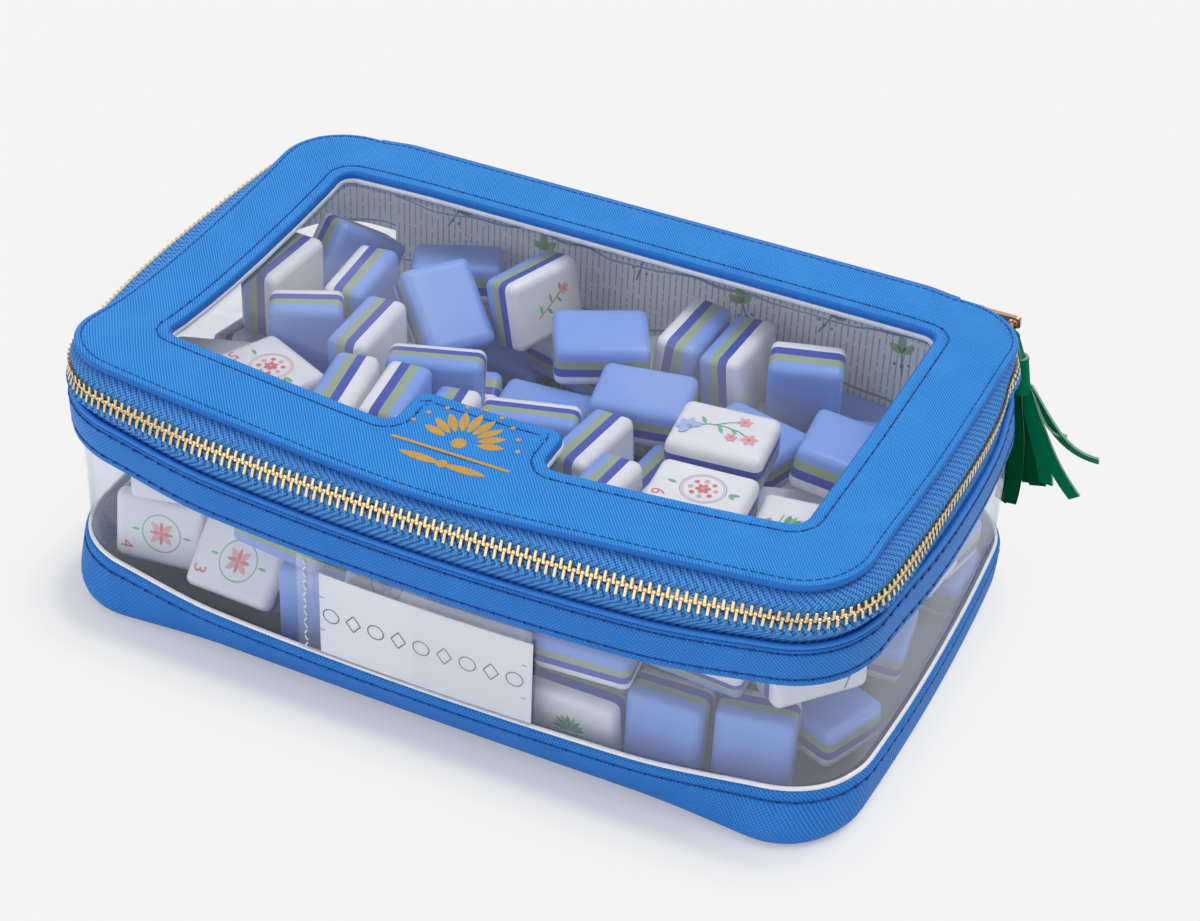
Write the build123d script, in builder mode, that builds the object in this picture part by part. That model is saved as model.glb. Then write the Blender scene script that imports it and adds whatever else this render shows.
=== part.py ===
from build123d import *
from math import cos, hypot, radians, sin
import os
import random

# A zipped game case: a leathercloth box with clear walls and a clear window, full of playing tiles.
# Millimetres. X runs along the case, Y to its back, Z up. The origin is the middle of its underside.

# Size of the case over its leathercloth
case_length = 280.0
case_depth = 175.0
case_height = 99.0
corner_radius = 28.0
wall_bow = 8.0
base_bow = 0.5

# Seams: the bottom band's height, and the drops from the lid's top to the rim, the chain and the hinge
bottom_band_height = 19.0
rim_height = 17.0
rim_drop = 21.0
zipper_drop = 11.0
hinge_drop = 2.5
rim_lining_rise = 6.0
back_lining_rise = 10.0

# Thickness of each material
leather = 2.0
vinyl = 0.8
fabric = 0.6
tape = 0.8
stiffener = 2.0
pocket_vinyl = 0.4
seam_overlap = 3.0
foot_clearance = 1.0
kink_rise = 0.1
least_radius = 1.0

# Lid
lid_thickness = 3.0
lid_inset = 3.6
lid_edge_chamfer = 0.8
window_length = 218.0
window_depth = 116.0
window_shift = 1.2
window_bow = 6.5
window_corner = 5.0
window_lap = 6.0
tab_width = 48.0
tab_depth = 19.0
tab_shift = 6.0
tab_corner = 5.0

# Spine along the back, between the two ends of the zipper: how far each end stops before its corner
spine_left_margin = 8.0
spine_right_margin = 10.0
hinge_gap = 1.0
corner_gap = 0.4

# Zipper
tooth_pitch = 3.05
tooth_thickness = 2.4
tooth_root = 3.1
tooth_reach = 0.5
tooth_root_width = 1.4
tooth_tip_width = 0.8
parted_reach = -1.0
chain_stand_out = 0.8
chain_tilt = 20.0
tape_clearance = 0.25
stop_length = 3.0
stop_gap = 0.5

# Slider and puller
slider_length = 11.0
slider_width = 8.2
slider_tail_width = 6.6
slider_corner = 1.0
slider_shoulder = 1.1
plate_thickness = 1.0
outer_clearance = 0.3
inner_clearance = 0.85
divider_width = 1.2
divider_length = 2.6
divider_corner = 0.5
divider_set_back = 0.3
bridge_length = 7.0
bridge_width = 2.2
bridge_height = 3.2
bridge_window = 2.2
bridge_wall = 1.0
puller_length = 17.6
puller_width = 5.2
puller_thickness = 1.2
crossbar = 1.3
eye_width = 3.1
eye_length = 3.8
ring_hole = 3.2
hole_margin = 1.0

# Ring and tassel
ring_outer = 7.8
ring_wire = 1.2
loop_height = 6.0
loop_width = 5.0
loop_hole = 3.2
loop_thickness = 1.2
cap_diameter = 9.0
cap_height = 13.0
strip_length = 50.0
strip_shortening = 1.6
strip_width = 6.4
strip_thickness = 1.2
strip_gap = 0.15
strip_count = 6
strip_first_turn = 4.0
strip_turn_step = 11.5
strip_bend_length = 16.0

# Card pocket on the front wall
pocket_left = -40.0
pocket_right = 42.0
card_left = -35.0
card_right = 41.0
card_bottom = 21.0
card_headroom = 6.0
card_thickness = 0.4
card_gap = 0.5
pocket_seam = 1.5
pocket_headroom = 0.3

# Playing tiles
tile_length = 32.0
tile_width = 25.0
tile_thickness = 15.0
tile_corner = 2.0
tile_gap = 0.4
tile_wall_gap = 1.0
tile_headroom = 6.1
tile_seed = 7

# Places that follow from the sizes
rim_top = case_height - rim_drop
rim_bottom = rim_top - rim_height
zipper_line = case_height - zipper_drop
hinge_height = case_height - hinge_drop
card_top = rim_bottom - card_headroom
lid_bottom = case_height - lid_thickness
half_length = case_length / 2
half_depth = case_depth / 2
corner_x = half_length - corner_radius
corner_y = half_depth - corner_radius
spine_left = spine_left_margin - corner_x
spine_right = corner_x - spine_right_margin
tape_kink = rim_top + kink_rise
foot_top = bottom_band_height - seam_overlap - foot_clearance


def bow_at(height):
    """The front leans out from the floor and is upright above the bottom band's seam."""
    share = min(1.0, max(0.0, height / foot_top))
    return base_bow + (wall_bow - base_bow) * share


def outline(inset, height):
    """The case's plan at a height, inset from the face of its leathercloth, with a bowed front."""
    x = half_length - inset
    y = half_depth - inset
    bow = bow_at(height)
    with BuildSketch(Plane.XY.offset(height)) as plan:
        with BuildLine():
            Polyline((-x, -y), (-x, y), (x, y), (x, -y))
            ThreePointArc((x, -y), (0, -y - bow), (-x, -y))
        make_face()
        fillet(plan.vertices(), max(corner_radius - inset, least_radius))
    return plan.sketch


def skin(levels):
    """A solid through the outlines at (height, inset) levels, with straight sides between them."""
    loft(sections=[outline(inset, height) for height, inset in levels], ruled=True)


def hollow(levels):
    """The same as a skin, but taken away."""
    sections = [outline(inset, height) for height, inset in levels]
    loft(sections=sections, ruled=True, mode=Mode.SUBTRACT)


def band(levels, thickness):
    """A wall of even thickness round the case, whose outer face passes through the levels."""
    skin(levels)
    hollow([(height, inset + thickness) for height, inset in levels])


def keep(x_range, y_range, z_range=(-10.0, 200.0)):
    """Keeps what lies inside a box."""
    size = [high - low for low, high in (x_range, y_range, z_range)]
    middle = [(high + low) / 2 for low, high in (x_range, y_range, z_range)]
    with Locations(tuple(middle)):
        Box(*size, mode=Mode.INTERSECT)


def cut(x_range, y_range, z_range=(-10.0, 200.0)):
    """Takes away what lies inside a box."""
    size = [high - low for low, high in (x_range, y_range, z_range)]
    middle = [(high + low) / 2 for low, high in (x_range, y_range, z_range)]
    with Locations(tuple(middle)):
        Box(*size, mode=Mode.SUBTRACT)


def finish(part, name):
    part.label = name
    os.makedirs("parts", exist_ok=True)
    export_step(part, f"parts/{name}.step")


far = case_length
spine = (spine_left, spine_right)
behind = (corner_y, far)

# Bottom: a band with a rounded foot, a panel sewn into its turned-in lip, a board and a lining
foot_levels = [(0.0, 5.0), (1.2, 2.4), (4.5, 0.6), (foot_top, 0.0), (bottom_band_height, 0.0)]
foot_hollow = [(leather, 4.2), (5.0, 2.7), (foot_top, leather), (bottom_band_height, leather)]
lip_width = 4.0
panel_inset = foot_levels[0][1] + lip_width

with BuildPart() as bottom_band:
    skin(foot_levels)
    hollow(foot_hollow)
    hollow([(0.0, panel_inset), (leather, panel_inset)])
finish(bottom_band.part, "bottom_band")

with BuildPart() as bottom_panel:
    skin([(0.0, panel_inset), (leather, panel_inset)])
finish(bottom_panel.part, "bottom_panel")

board_inset = 4.8
board_top = leather + stiffener
with BuildPart() as base_board:
    skin([(leather, board_inset), (board_top, board_inset)])
finish(base_board.part, "base_board")

lining_top = board_top + fabric
with BuildPart() as bottom_lining:
    skin([(board_top, board_inset), (lining_top, board_inset)])
finish(bottom_lining.part, "bottom_lining")

# Clear wall: one strip of vinyl sewn behind both bands, round the front, the ends and the back corners
wall_bottom = bottom_band_height - seam_overlap
wall_top = rim_bottom + seam_overlap
with BuildPart() as clear_wall:
    band([(wall_bottom, leather), (wall_top, leather)], vinyl)
    cut(spine, behind)
finish(clear_wall.part, "clear_wall")

binding_height = 1.3
binding_thickness = 0.8
with BuildPart() as wall_binding:
    band([(bottom_band_height, leather - binding_thickness),
          (bottom_band_height + binding_height, leather - binding_thickness)], binding_thickness)
    cut(spine, behind)
finish(wall_binding.part, "wall_binding")

# Rim: a band of leathercloth with a fabric lining inside it
with BuildPart() as rim_band:
    band([(rim_bottom, 0.0), (rim_top, 0.0)], leather)
finish(rim_band.part, "rim_band")

rim_lining_top = rim_top + rim_lining_rise
lining_inset = leather + vinyl
with BuildPart() as rim_lining:
    band([(rim_bottom, lining_inset), (rim_lining_top, lining_inset)], fabric)
    cut(spine, behind)
finish(rim_lining.part, "rim_lining")

# Spine: the back panel, its lining and the leathercloth strip that the lid folds on
panel_thickness = 1.2
strip_top = hinge_height - hinge_gap
with BuildPart() as back_panel:
    band([(wall_bottom, leather), (strip_top, leather)], panel_thickness)
    keep(spine, behind)
finish(back_panel.part, "back_panel")

back_lining_inset = leather + panel_thickness
back_lining_lean = 1.7
back_lining_top = rim_top + back_lining_rise
with BuildPart() as back_lining:
    band([(lining_top, back_lining_inset + back_lining_lean), (wall_bottom, back_lining_inset)], fabric)
    band([(wall_bottom, back_lining_inset), (back_lining_top, back_lining_inset)], fabric)
    keep(spine, behind)
finish(back_lining.part, "back_lining")

with BuildPart() as hinge_strip:
    band([(rim_top, 0.0), (strip_top, 0.0)], leather)
    keep(spine, behind)
finish(hinge_strip.part, "hinge_strip")

# Zipper section: the chain leans back by its tilt, and a tape runs from each row of teeth to its seam
tilt = radians(chain_tilt)


def on_chain(along):
    """(height, inset) of a point of the chain's section, counted up its slope from the middle."""
    return zipper_line + along * cos(tilt), along * sin(tilt) - chain_stand_out


root = tooth_root + tape_clearance
lower_root = on_chain(-root)
upper_root = on_chain(root)
half_tape = tape / 2

lower_levels = [(rim_top - 2 * seam_overlap, leather), (tape_kink, leather),
                (lower_root[0], lower_root[1] - half_tape)]
upper_levels = [(upper_root[0], upper_root[1] - half_tape), (lid_bottom, lid_inset + tape)]

with BuildPart() as lower_tape:
    band(lower_levels, tape)
    cut(spine, behind)
finish(lower_tape.part, "lower_tape")

with BuildPart() as upper_tape:
    band(upper_levels, tape)
    cut((-far, far), (corner_y - corner_gap, far))
finish(upper_tape.part, "upper_tape")

with BuildPart() as corner_tapes:
    band(upper_levels, tape)
    cut(spine, behind)
    keep((-far, far), behind, (0.0, lid_bottom - corner_gap))
finish(corner_tapes.part, "corner_tapes")

# Zipper teeth: each is wide at the tape and narrow at its tip, which stands between two of the other row
rail = outline(-chain_stand_out, zipper_line).faces()[0].outer_wire()
rail_length = rail.length


def along_rail(x):
    """The rail's length up to its point at x on the back, to the nearest millimetre."""
    target = Vector(x, half_depth + chain_stand_out, zipper_line)
    steps = range(int(rail_length))
    return min(steps, key=lambda step: (rail.position_at(step, PositionMode.LENGTH) - target).length)


back_run = spine_right - spine_left
left_end = along_rail(spine_left)
right_end = along_rail(spine_right)
direction = 1.0 if abs((left_end - right_end) % rail_length - back_run) < 2.0 else -1.0
chain_length = rail_length - back_run - 2 * stop_gap
teeth_start = stop_gap + stop_length
pitches = int((chain_length - 2 * stop_length) / tooth_pitch)


def chain_plane(distance):
    """The chain's own plane at a distance from its left end: X along it, Y up the slope, Z outward."""
    place = (left_end + direction * distance) % rail_length
    point = rail.position_at(place, PositionMode.LENGTH)
    tangent = rail.tangent_at(place, PositionMode.LENGTH)
    outward = tangent.cross(Vector(0, 0, 1)).normalized()
    if outward.dot(Vector(point.X, point.Y * case_length / case_depth, 0)) < 0:
        outward = outward * -1
    normal = outward * cos(tilt) + Vector(0, 0, sin(tilt))
    slope = Vector(0, 0, cos(tilt)) - outward * sin(tilt)
    return Plane(origin=point, x_dir=slope.cross(normal), z_dir=normal)


def make_tooth(reach, row):
    """One tooth in the chain's plane. Row is 1 above the middle line and -1 below it."""
    tip = (tooth_root + reach) * tooth_tip_width / (tooth_root + tooth_reach)
    with BuildPart() as tooth:
        with BuildSketch():
            Polygon((-tooth_root_width / 2, row * tooth_root), (tooth_root_width / 2, row * tooth_root),
                    (tip / 2, -row * reach), (-tip / 2, -row * reach), align=None)
        extrude(amount=tooth_thickness / 2, both=True)
    return tooth.part


upper_planes = [chain_plane(teeth_start + (step + 0.25) * tooth_pitch) for step in range(pitches)]
lower_planes = [chain_plane(teeth_start + (step + 0.75) * tooth_pitch) for step in range(pitches)]


def in_lid(plane):
    return plane.origin.Y < corner_y - tooth_root_width


def under_slider(plane):
    return plane.origin.Y > corner_y - tooth_root_width and plane.origin.X > 0


with BuildPart() as upper_teeth:
    with Locations([plane for plane in upper_planes if in_lid(plane)]):
        add(make_tooth(tooth_reach, 1))
finish(upper_teeth.part, "upper_teeth")

with BuildPart() as lower_teeth:
    with Locations([plane for plane in lower_planes if not under_slider(plane)]):
        add(make_tooth(tooth_reach, -1))
    with Locations([plane for plane in lower_planes if under_slider(plane)]):
        add(make_tooth(parted_reach, -1))
finish(lower_teeth.part, "lower_teeth")

with BuildPart() as corner_teeth:
    with Locations([plane for plane in upper_planes if not in_lid(plane) and not under_slider(plane)]):
        add(make_tooth(tooth_reach, 1))
    with Locations([plane for plane in upper_planes if under_slider(plane)]):
        add(make_tooth(parted_reach, 1))
finish(corner_teeth.part, "corner_teeth")

# Stops: a flat metal clip closes the chain beside each end of the spine
stop_places = [stop_gap + stop_length / 2, stop_gap + chain_length - stop_length / 2]
with BuildPart() as zipper_stops:
    with Locations([chain_plane(place) for place in stop_places]):
        Box(stop_length - stop_gap, 2 * tooth_root, tooth_thickness)
finish(zipper_stops.part, "zipper_stops")

# Lid
with BuildPart() as lid_window:
    with BuildSketch(Plane.XY.offset(lid_bottom - vinyl)):
        with Locations((0, window_shift - window_bow / 2)):
            RectangleRounded(window_length + 2 * window_lap, window_depth + window_bow + 2 * window_lap,
                             window_corner)
    extrude(amount=vinyl)
finish(lid_window.part, "lid_window")


def window_hole(height, margin):
    """The window's outline, with the tab that stands into it from the front."""
    x = window_length / 2 - margin
    back = window_shift + window_depth / 2 - margin
    front = window_shift - window_depth / 2 + margin
    left = tab_shift - tab_width / 2 - margin
    right = tab_shift + tab_width / 2 + margin
    tab_top = front - window_bow + tab_depth
    with BuildSketch(Plane.XY.offset(height)) as hole:
        with BuildLine():
            Polyline((-x, front), (-x, back), (x, back), (x, front))
            ThreePointArc((x, front), (0, front - window_bow), (-x, front))
        make_face()
        fillet(hole.vertices(), window_corner)
        with BuildLine():
            Polyline((left, front - 3 * window_bow), (left, tab_top), (right, tab_top),
                     (right, front - 3 * window_bow), close=True)
        make_face(mode=Mode.SUBTRACT)
        corners = hole.vertices().filter_by_position(Axis.X, left - tab_corner, right + tab_corner)
        fillet(corners, tab_corner)
    return hole.sketch


with BuildPart() as lid_frame:
    skin([(lid_bottom, lid_inset), (case_height, lid_inset)])
    chamfer(lid_frame.faces().sort_by(Axis.Z)[-1].edges(), lid_edge_chamfer)
    extrude(window_hole(lid_bottom, 0.0), amount=lid_thickness, mode=Mode.SUBTRACT)
finish(lid_frame.part, "lid_frame")

lining_margin = 1.0
lining_frame_inset = lid_inset + tape * 2 + lining_margin
lining_hole_margin = 1.2
backing_top = lid_bottom - vinyl
with BuildPart() as lid_lining:
    skin([(backing_top - fabric, lining_frame_inset), (backing_top, lining_frame_inset)])
    extrude(window_hole(backing_top - fabric, lining_hole_margin), amount=fabric, mode=Mode.SUBTRACT)
finish(lid_lining.part, "lid_lining")

# Card pocket: a clear sleeve sewn to the front wall at its left and its foot, open at its right
pocket_bottom = bottom_band_height + binding_height
pocket_top = rim_bottom - pocket_headroom
card_face = leather - card_gap
card_front = card_face - card_thickness
pocket_back = card_front - card_gap
pocket_face = pocket_back - pocket_vinyl
front_y = (-far, -corner_y)

with BuildPart() as pocket_edge:
    band([(pocket_bottom, pocket_face), (pocket_top, pocket_face)], leather - pocket_face)
    keep((pocket_left, pocket_left + pocket_seam), front_y)

with BuildPart() as card_pocket:
    band([(pocket_bottom, pocket_face), (pocket_top, pocket_face)], leather - pocket_face)
    hollow([(pocket_bottom + pocket_vinyl, pocket_back), (pocket_top, pocket_back)])
    keep((pocket_left, pocket_right), front_y)
    add(pocket_edge.part)
finish(card_pocket.part, "card_pocket")

with BuildPart() as label_card:
    band([(card_bottom, card_front), (card_top, card_front)], card_thickness)
    keep((card_left, card_right), front_y)
finish(label_card.part, "label_card")

# Slider: two plates joined by a divider, with a bridge on the outer one. Local X runs along the chain,
# Y down the slope and Z outward.
slider_at = Vector(corner_x, half_depth + chain_stand_out, zipper_line)
outward_back = Vector(0, cos(tilt), sin(tilt))
slider_plane = Plane(origin=slider_at, x_dir=(1, 0, 0), z_dir=outward_back)
outer_face = tooth_thickness / 2 + outer_clearance
inner_face = -tooth_thickness / 2 - inner_clearance
plate_top = outer_face + plate_thickness


def slider_plate(height):
    """A shield: broad where the rows part, narrow where they leave together."""
    with BuildSketch(slider_plane.offset(height)) as plate:
        with BuildLine():
            Polyline((-slider_length / 2, -slider_width / 2), (slider_shoulder, -slider_width / 2),
                     (slider_length / 2, -slider_tail_width / 2), (slider_length / 2, slider_tail_width / 2),
                     (slider_shoulder, slider_width / 2), (-slider_length / 2, slider_width / 2),
                     close=True)
        make_face()
        chamfer(plate.vertices(), slider_corner)
    return plate.sketch


with BuildPart() as slider:
    extrude(slider_plate(outer_face), amount=plate_thickness)
    extrude(slider_plate(inner_face - plate_thickness), amount=plate_thickness)
    with BuildSketch(slider_plane.offset(inner_face)):
        with Locations((-slider_length / 2 + divider_length / 2 + divider_set_back, 0)):
            RectangleRounded(divider_length, divider_width, divider_corner)
    extrude(amount=outer_face - inner_face)
    with BuildSketch(slider_plane.offset(plate_top)):
        Rectangle(bridge_length, bridge_width)
    extrude(amount=bridge_height)
    with BuildSketch(slider_plane.offset(plate_top)):
        Rectangle(bridge_length - 2 * bridge_wall, bridge_width)
    extrude(amount=bridge_window, mode=Mode.SUBTRACT)
finish(slider.part, "slider")

# Puller: a crossbar under the bridge, two arms beside it, a tab and a hole for the ring
pivot_height = plate_top + bridge_window / 2
puller_bottom = pivot_height - puller_thickness / 2
hole_along = puller_length - crossbar / 2 - hole_margin - ring_hole / 2
with BuildPart() as puller:
    with BuildSketch(slider_plane.offset(puller_bottom)):
        with Locations((puller_length / 2 - crossbar / 2, 0)):
            RectangleRounded(puller_length, puller_width, puller_width / 4)
        with Locations((crossbar / 2 + eye_length / 2, 0)):
            Rectangle(eye_length, eye_width, mode=Mode.SUBTRACT)
        with Locations((hole_along, 0)):
            Circle(ring_hole / 2, mode=Mode.SUBTRACT)
    extrude(amount=puller_thickness)
finish(puller.part, "puller")

# Ring: it hangs upright from the puller's hole, its axis along the case
hole_at = slider_plane.from_local_coords((hole_along, 0, pivot_height))
ring_middle = hole_at - Vector(0, 0, ring_outer / 2 - ring_wire / 2)
ring_plane = Plane(origin=ring_middle, x_dir=(0, 1, 0), z_dir=(1, 0, 0))
with BuildPart() as ring:
    with BuildSketch(ring_plane.offset(-ring_wire / 2)):
        Circle(ring_outer / 2)
        Circle(ring_outer / 2 - ring_wire, mode=Mode.SUBTRACT)
    extrude(amount=ring_wire)
finish(ring.part, "ring")

# Tassel: a loop round the ring's foot, a wound cap and a fan of strips
swing_at = ring_middle - Vector(0, 0, ring_outer / 2 - ring_wire / 2)
loop_plane = Plane(origin=swing_at, x_dir=(1, 0, 0), z_dir=(0, -1, 0))
cap_top = swing_at.Z - loop_height + loop_width / 2
with BuildPart() as tassel_cap:
    with BuildSketch(loop_plane.offset(-loop_thickness / 2)):
        Circle(loop_width / 2)
        with Locations((0, -loop_height / 2)):
            Rectangle(loop_width, loop_height)
        Circle(loop_hole / 2, mode=Mode.SUBTRACT)
    extrude(amount=loop_thickness)
    with BuildSketch(Plane(origin=(swing_at.X, swing_at.Y, cap_top), z_dir=(0, 0, -1))):
        Circle(cap_diameter / 2)
    extrude(amount=cap_height)
finish(tassel_cap.part, "tassel_cap")

strips_top = cap_top - cap_height
strip_pitch = strip_thickness + strip_gap
strips_back = swing_at.Y + strip_count * strip_pitch / 2
with BuildPart() as tassel_strips:
    for number in range(strip_count):
        turn = strip_first_turn + strip_turn_step * number
        length = strip_length - strip_shortening * number
        strip_plane = Plane(origin=(swing_at.X, strips_back - strip_pitch * number, strips_top),
                            x_dir=(1, 0, 0), z_dir=(0, -1, 0))
        with BuildSketch(strip_plane):
            with BuildLine() as middle_line:
                bend = JernArc((0, 0), (0, -1), strip_bend_length / radians(turn), turn)
                Line(bend @ 1, bend @ 1 + (bend % 1) * (length - strip_bend_length))
            trace(middle_line.line, strip_width)
        extrude(amount=strip_thickness)
finish(tassel_strips.part, "tassel_strips")


# Tiles: whole playing tiles in a jumble. Those that show are put where they lie and then parted where two
# of them meet. The rest fill the room below them.
tile_half = (tile_length / 2, tile_width / 2, tile_thickness / 2)
tile_reach = 2 * hypot(*tile_half) + tile_gap
pile_inset = leather + vinyl + fabric + tile_wall_gap
pile_back = half_depth - back_lining_inset - fabric - back_lining_lean - tile_wall_gap
pile_floor = lining_top + tile_gap / 2
tile_ceiling = lid_bottom - vinyl - fabric - tile_headroom
foot_lean = foot_hollow[0][1] - leather


def dot(a, b):
    return a[0] * b[0] + a[1] * b[1] + a[2] * b[2]


def cross(a, b):
    return (a[1] * b[2] - a[2] * b[1], a[2] * b[0] - a[0] * b[2], a[0] * b[1] - a[1] * b[0])


class Tile:
    """A tile by the middle of its box and its turns: roll about its length, lean about Y, turn about Z."""

    def __init__(self, x, y, z, turn, lean, roll):
        self.place = Rotation(0, 0, turn) * Rotation(0, lean, 0) * Rotation(roll, 0, 0)
        self.axes = [tuple((self.place * Location(unit)).position)
                     for unit in ((1, 0, 0), (0, 1, 0), (0, 0, 1))]
        self.x, self.y, self.z = x, y, z
        self.reach_up = sum(half * abs(axis[2]) for half, axis in zip(tile_half, self.axes))
        self.offsets = [tuple(sum(sign * half * axis[k] for sign, half, axis in
                                  zip(signs, tile_half, self.axes)) for k in range(3))
                        for signs in [(i, j, k) for i in (-1, 1) for j in (-1, 1) for k in (-1, 1)]]

    def move(self, way, distance):
        self.x += way[0] * distance
        self.y += way[1] * distance
        self.z += way[2] * distance

    def depth_into(self, other):
        """How deep two boxes reach into each other's gap, and the direction that parts them soonest."""
        gap = (other.x - self.x, other.y - self.y, other.z - self.z)
        if dot(gap, gap) > tile_reach * tile_reach:
            return 0.0, gap
        best = tile_reach
        way = gap
        for test in self.axes + other.axes + [cross(a, b) for a in self.axes for b in other.axes]:
            size = hypot(*test)
            if size < 0.001:
                continue
            reach = sum(half * (abs(dot(a, test)) + abs(dot(b, test)))
                        for half, a, b in zip(tile_half, self.axes, other.axes))
            depth = (reach - abs(dot(gap, test))) / size + tile_gap
            if depth <= 0:
                return 0.0, gap
            if depth < best:
                best = depth
                way = tuple(part / size * (1 if dot(gap, test) > 0 else -1) for part in test)
        return best, way

    def push_inside(self):
        """Moves the tile in from the walls, the floor and the ceiling until its corners are inside them."""
        self.z = min(max(self.z, pile_floor + self.reach_up), tile_ceiling - self.reach_up)
        side = half_length - pile_inset
        for _ in range(push_rounds):
            push_x = push_y = 0.0
            for x_step, y_step, z_step in self.offsets:
                x, y, z = self.x + x_step, self.y + y_step, self.z + z_step
                lean_in = foot_lean * max(0.0, 1 - z / foot_top)
                bow = bow_at(z) * max(0.0, 1 - (x / corner_x) ** 2)
                front = half_depth - pile_inset - lean_in + bow
                push_x = min(push_x, side - x) if x > 0 else max(push_x, -side - x)
                push_y = min(push_y, pile_back - y) if y > 0 else max(push_y, -front - y)
                over_x, over_y = abs(x) - corner_x, abs(y) - corner_y
                over = hypot(over_x, over_y) - (corner_radius - pile_inset)
                if over_x > 0 and over_y > 0 and over > 0:
                    push_x = min(push_x, -over) if x > 0 else max(push_x, over)
                    push_y = min(push_y, -over / 3) if y > 0 else max(push_y, over / 3)
            if abs(push_x) + abs(push_y) < parting_residue:
                return
            self.x += push_x
            self.y += push_y


def part_tiles(tiles, rounds):
    """Moves meeting tiles away from each other, half the way each, until none meet."""
    for _ in range(rounds):
        deepest = 0.0
        for number, tile in enumerate(tiles):
            for other in tiles[number + 1:]:
                depth, way = tile.depth_into(other)
                if depth > 0:
                    deepest = max(deepest, depth)
                    tile.move(way, -min(depth, parting_step) * parting_share)
                    other.move(way, min(depth, parting_step) * parting_share)
        for tile in tiles:
            tile.push_inside()
        if deepest < parting_done:
            return


def meets(tile, others):
    touching = any(tile.depth_into(other)[0] > parting_residue for other in others)
    return touching or tile.z < pile_floor + tile.reach_up


def near(tile, tiles):
    return [other for other in tiles
            if other is not tile and hypot(other.x - tile.x, other.y - tile.y) < tile_reach]


def lower(tile, others):
    """Lowers a tile onto what lies below it."""
    while not meets(tile, others):
        tile.z -= seat_step
    tile.z += seat_step


# Tiles that stand or lie behind the front wall: x, y, z, turn, lean, roll
front_tiles = [
    (-106, -78, 30, 8, 0, 80), (-70, -80, 27, -2, 0, 48), (-42, -84, 24, 3, 90, 84), (-4, -88, 20, -2, 0, 88),
    (26, -88, 20, -2, 90, 88), (52, -86, 20, 0, 0, 100), (76, -84, 22, 2, 90, 90), (103, -80, 26, 6, 90, 84),
    (118, -56, 20, -22, 0, 0), (-108, -78, 50, 8, -6, 72), (-16, -82, 46, -5, 0, 70), (66, -80, 46, 4, 0, 12),
    (18, -82, 46, -5, 0, 80), (98, -74, 50, 2, 6, 24), (122, -64, 50, 50, 0, 84)]
# Tiles that show through the window, the lowest first
window_tiles = [
    (-112, -14, 58, 20, 0, 185), (-113, 6, 56, 80, 0, 70), (-36, 18, 64, 20, 0, 110), (-12, 18, 62, 10, 0, 8),
    (92, 38, 64, 16, 0, 6), (94, -8, 64, 20, 0, 10), (45, -18, 66, 85, 0, 84), (-2, 3, 66, 5, 0, 4),
    (-66, -30, 64, 10, 0, 4), (64, 20, 64, -14, 0, -4), (-104, 48, 66, 60, 35, 84), (-62, 49, 70, 26, 0, -12),
    (-108, 16, 72, 88, 0, 90), (-77, 20, 72, 95, 0, 88), (30, 51, 72, 88, 0, 96), (47, 49, 72, 88, 0, 84),
    (-66, -3, 72, 92, 0, 88), (-91, -4, 70, 117, 90, 0), (4, -24, 72, 17, 0, 84), (-86, -34, 72, -25, 0, 0),
    (-50, -40, 76, 100, 0, 88), (-34, -36, 76, 98, 0, 92), (-17, -32, 75, 98, 0, 88), (38, -44, 74, 85, 0, 86),
    (66, 47, 72, 107, 78, 0), (94, 12, 74, 98, 8, 10), (29, 3, 76, 11, 0, 2), (23, -28, 76, 84, 0, 86),
    (-32, -8, 76, 20, 0, 82), (-30, 45, 74, 72, 0, 78), (66, -38, 78, 5, 0, 0), (60, -10, 80, 6, 0, 2),
    (98, -36, 76, 98, 0, 0), (6, 27, 80, 28, 0, 3), (-56, 17, 76, -37, 38, 0)]
# Parting: the most that two tiles move in a round, each one's share of it, and when all is parted
parting_rounds = 300
parting_step = 2.0
parting_share = 0.52
parting_done = 0.02
parting_residue = 0.05
push_rounds = 40
# Filling: rows of tiles that lie about flat, each a little out of line, up to a height
fill_columns = 8
fill_rows = 6
fill_layers = 5
fill_ceiling = 66.0
fill_step = 1.0
seat_step = 0.2
most_drop = 7.0
fill_drift = 4.0
fill_side_drift = 3.0
fill_turn = 14.0
fill_tilt = 6.0

front_pile = [Tile(*numbers) for numbers in front_tiles]
window_pile = [Tile(*numbers) for numbers in window_tiles]
part_tiles(front_pile + window_pile, parting_rounds)

random.seed(tile_seed)
fill_pile = []
for layer in range(fill_layers):
    for row in range(fill_rows):
        for column in range(fill_columns):
            x = (2 * column / (fill_columns - 1) - 1) * (half_length - pile_inset - tile_length / 2)
            y = (2 * row / (fill_rows - 1) - 1) * (half_depth - pile_inset - tile_width / 2)
            x += random.uniform(-fill_drift, fill_drift)
            y += random.uniform(-fill_side_drift, fill_side_drift)
            tile = Tile(x, y, pile_floor, random.uniform(-fill_turn, fill_turn),
                        random.uniform(-fill_tilt, fill_tilt), random.uniform(-fill_tilt, fill_tilt))
            tile.push_inside()
            others = near(tile, front_pile + window_pile + fill_pile)
            while meets(tile, others):
                tile.z += fill_step
            lower(tile, others)
            if tile.z + tile.reach_up < fill_ceiling:
                fill_pile.append(tile)

for tile in sorted(window_pile, key=lambda tile: tile.z):
    height = tile.z
    lower(tile, near(tile, front_pile + window_pile + fill_pile))
    if height - tile.z > most_drop or tile.z > height:
        tile.z = height


def places(tiles):
    return [Location((tile.x, tile.y, tile.z)) * tile.place for tile in tiles]


# A tile that shows has its corners cut; one that only fills the room below is a plain block
with BuildPart() as shown_tile:
    Box(tile_length, tile_width, tile_thickness)
    chamfer(shown_tile.edges().filter_by(Axis.Z), tile_corner)

with BuildPart() as tiles_below:
    with Locations(places(front_pile)):
        add(shown_tile.part)
    with Locations(places(fill_pile)):
        Box(tile_length, tile_width, tile_thickness)
finish(tiles_below.part, "tiles_below")

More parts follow.
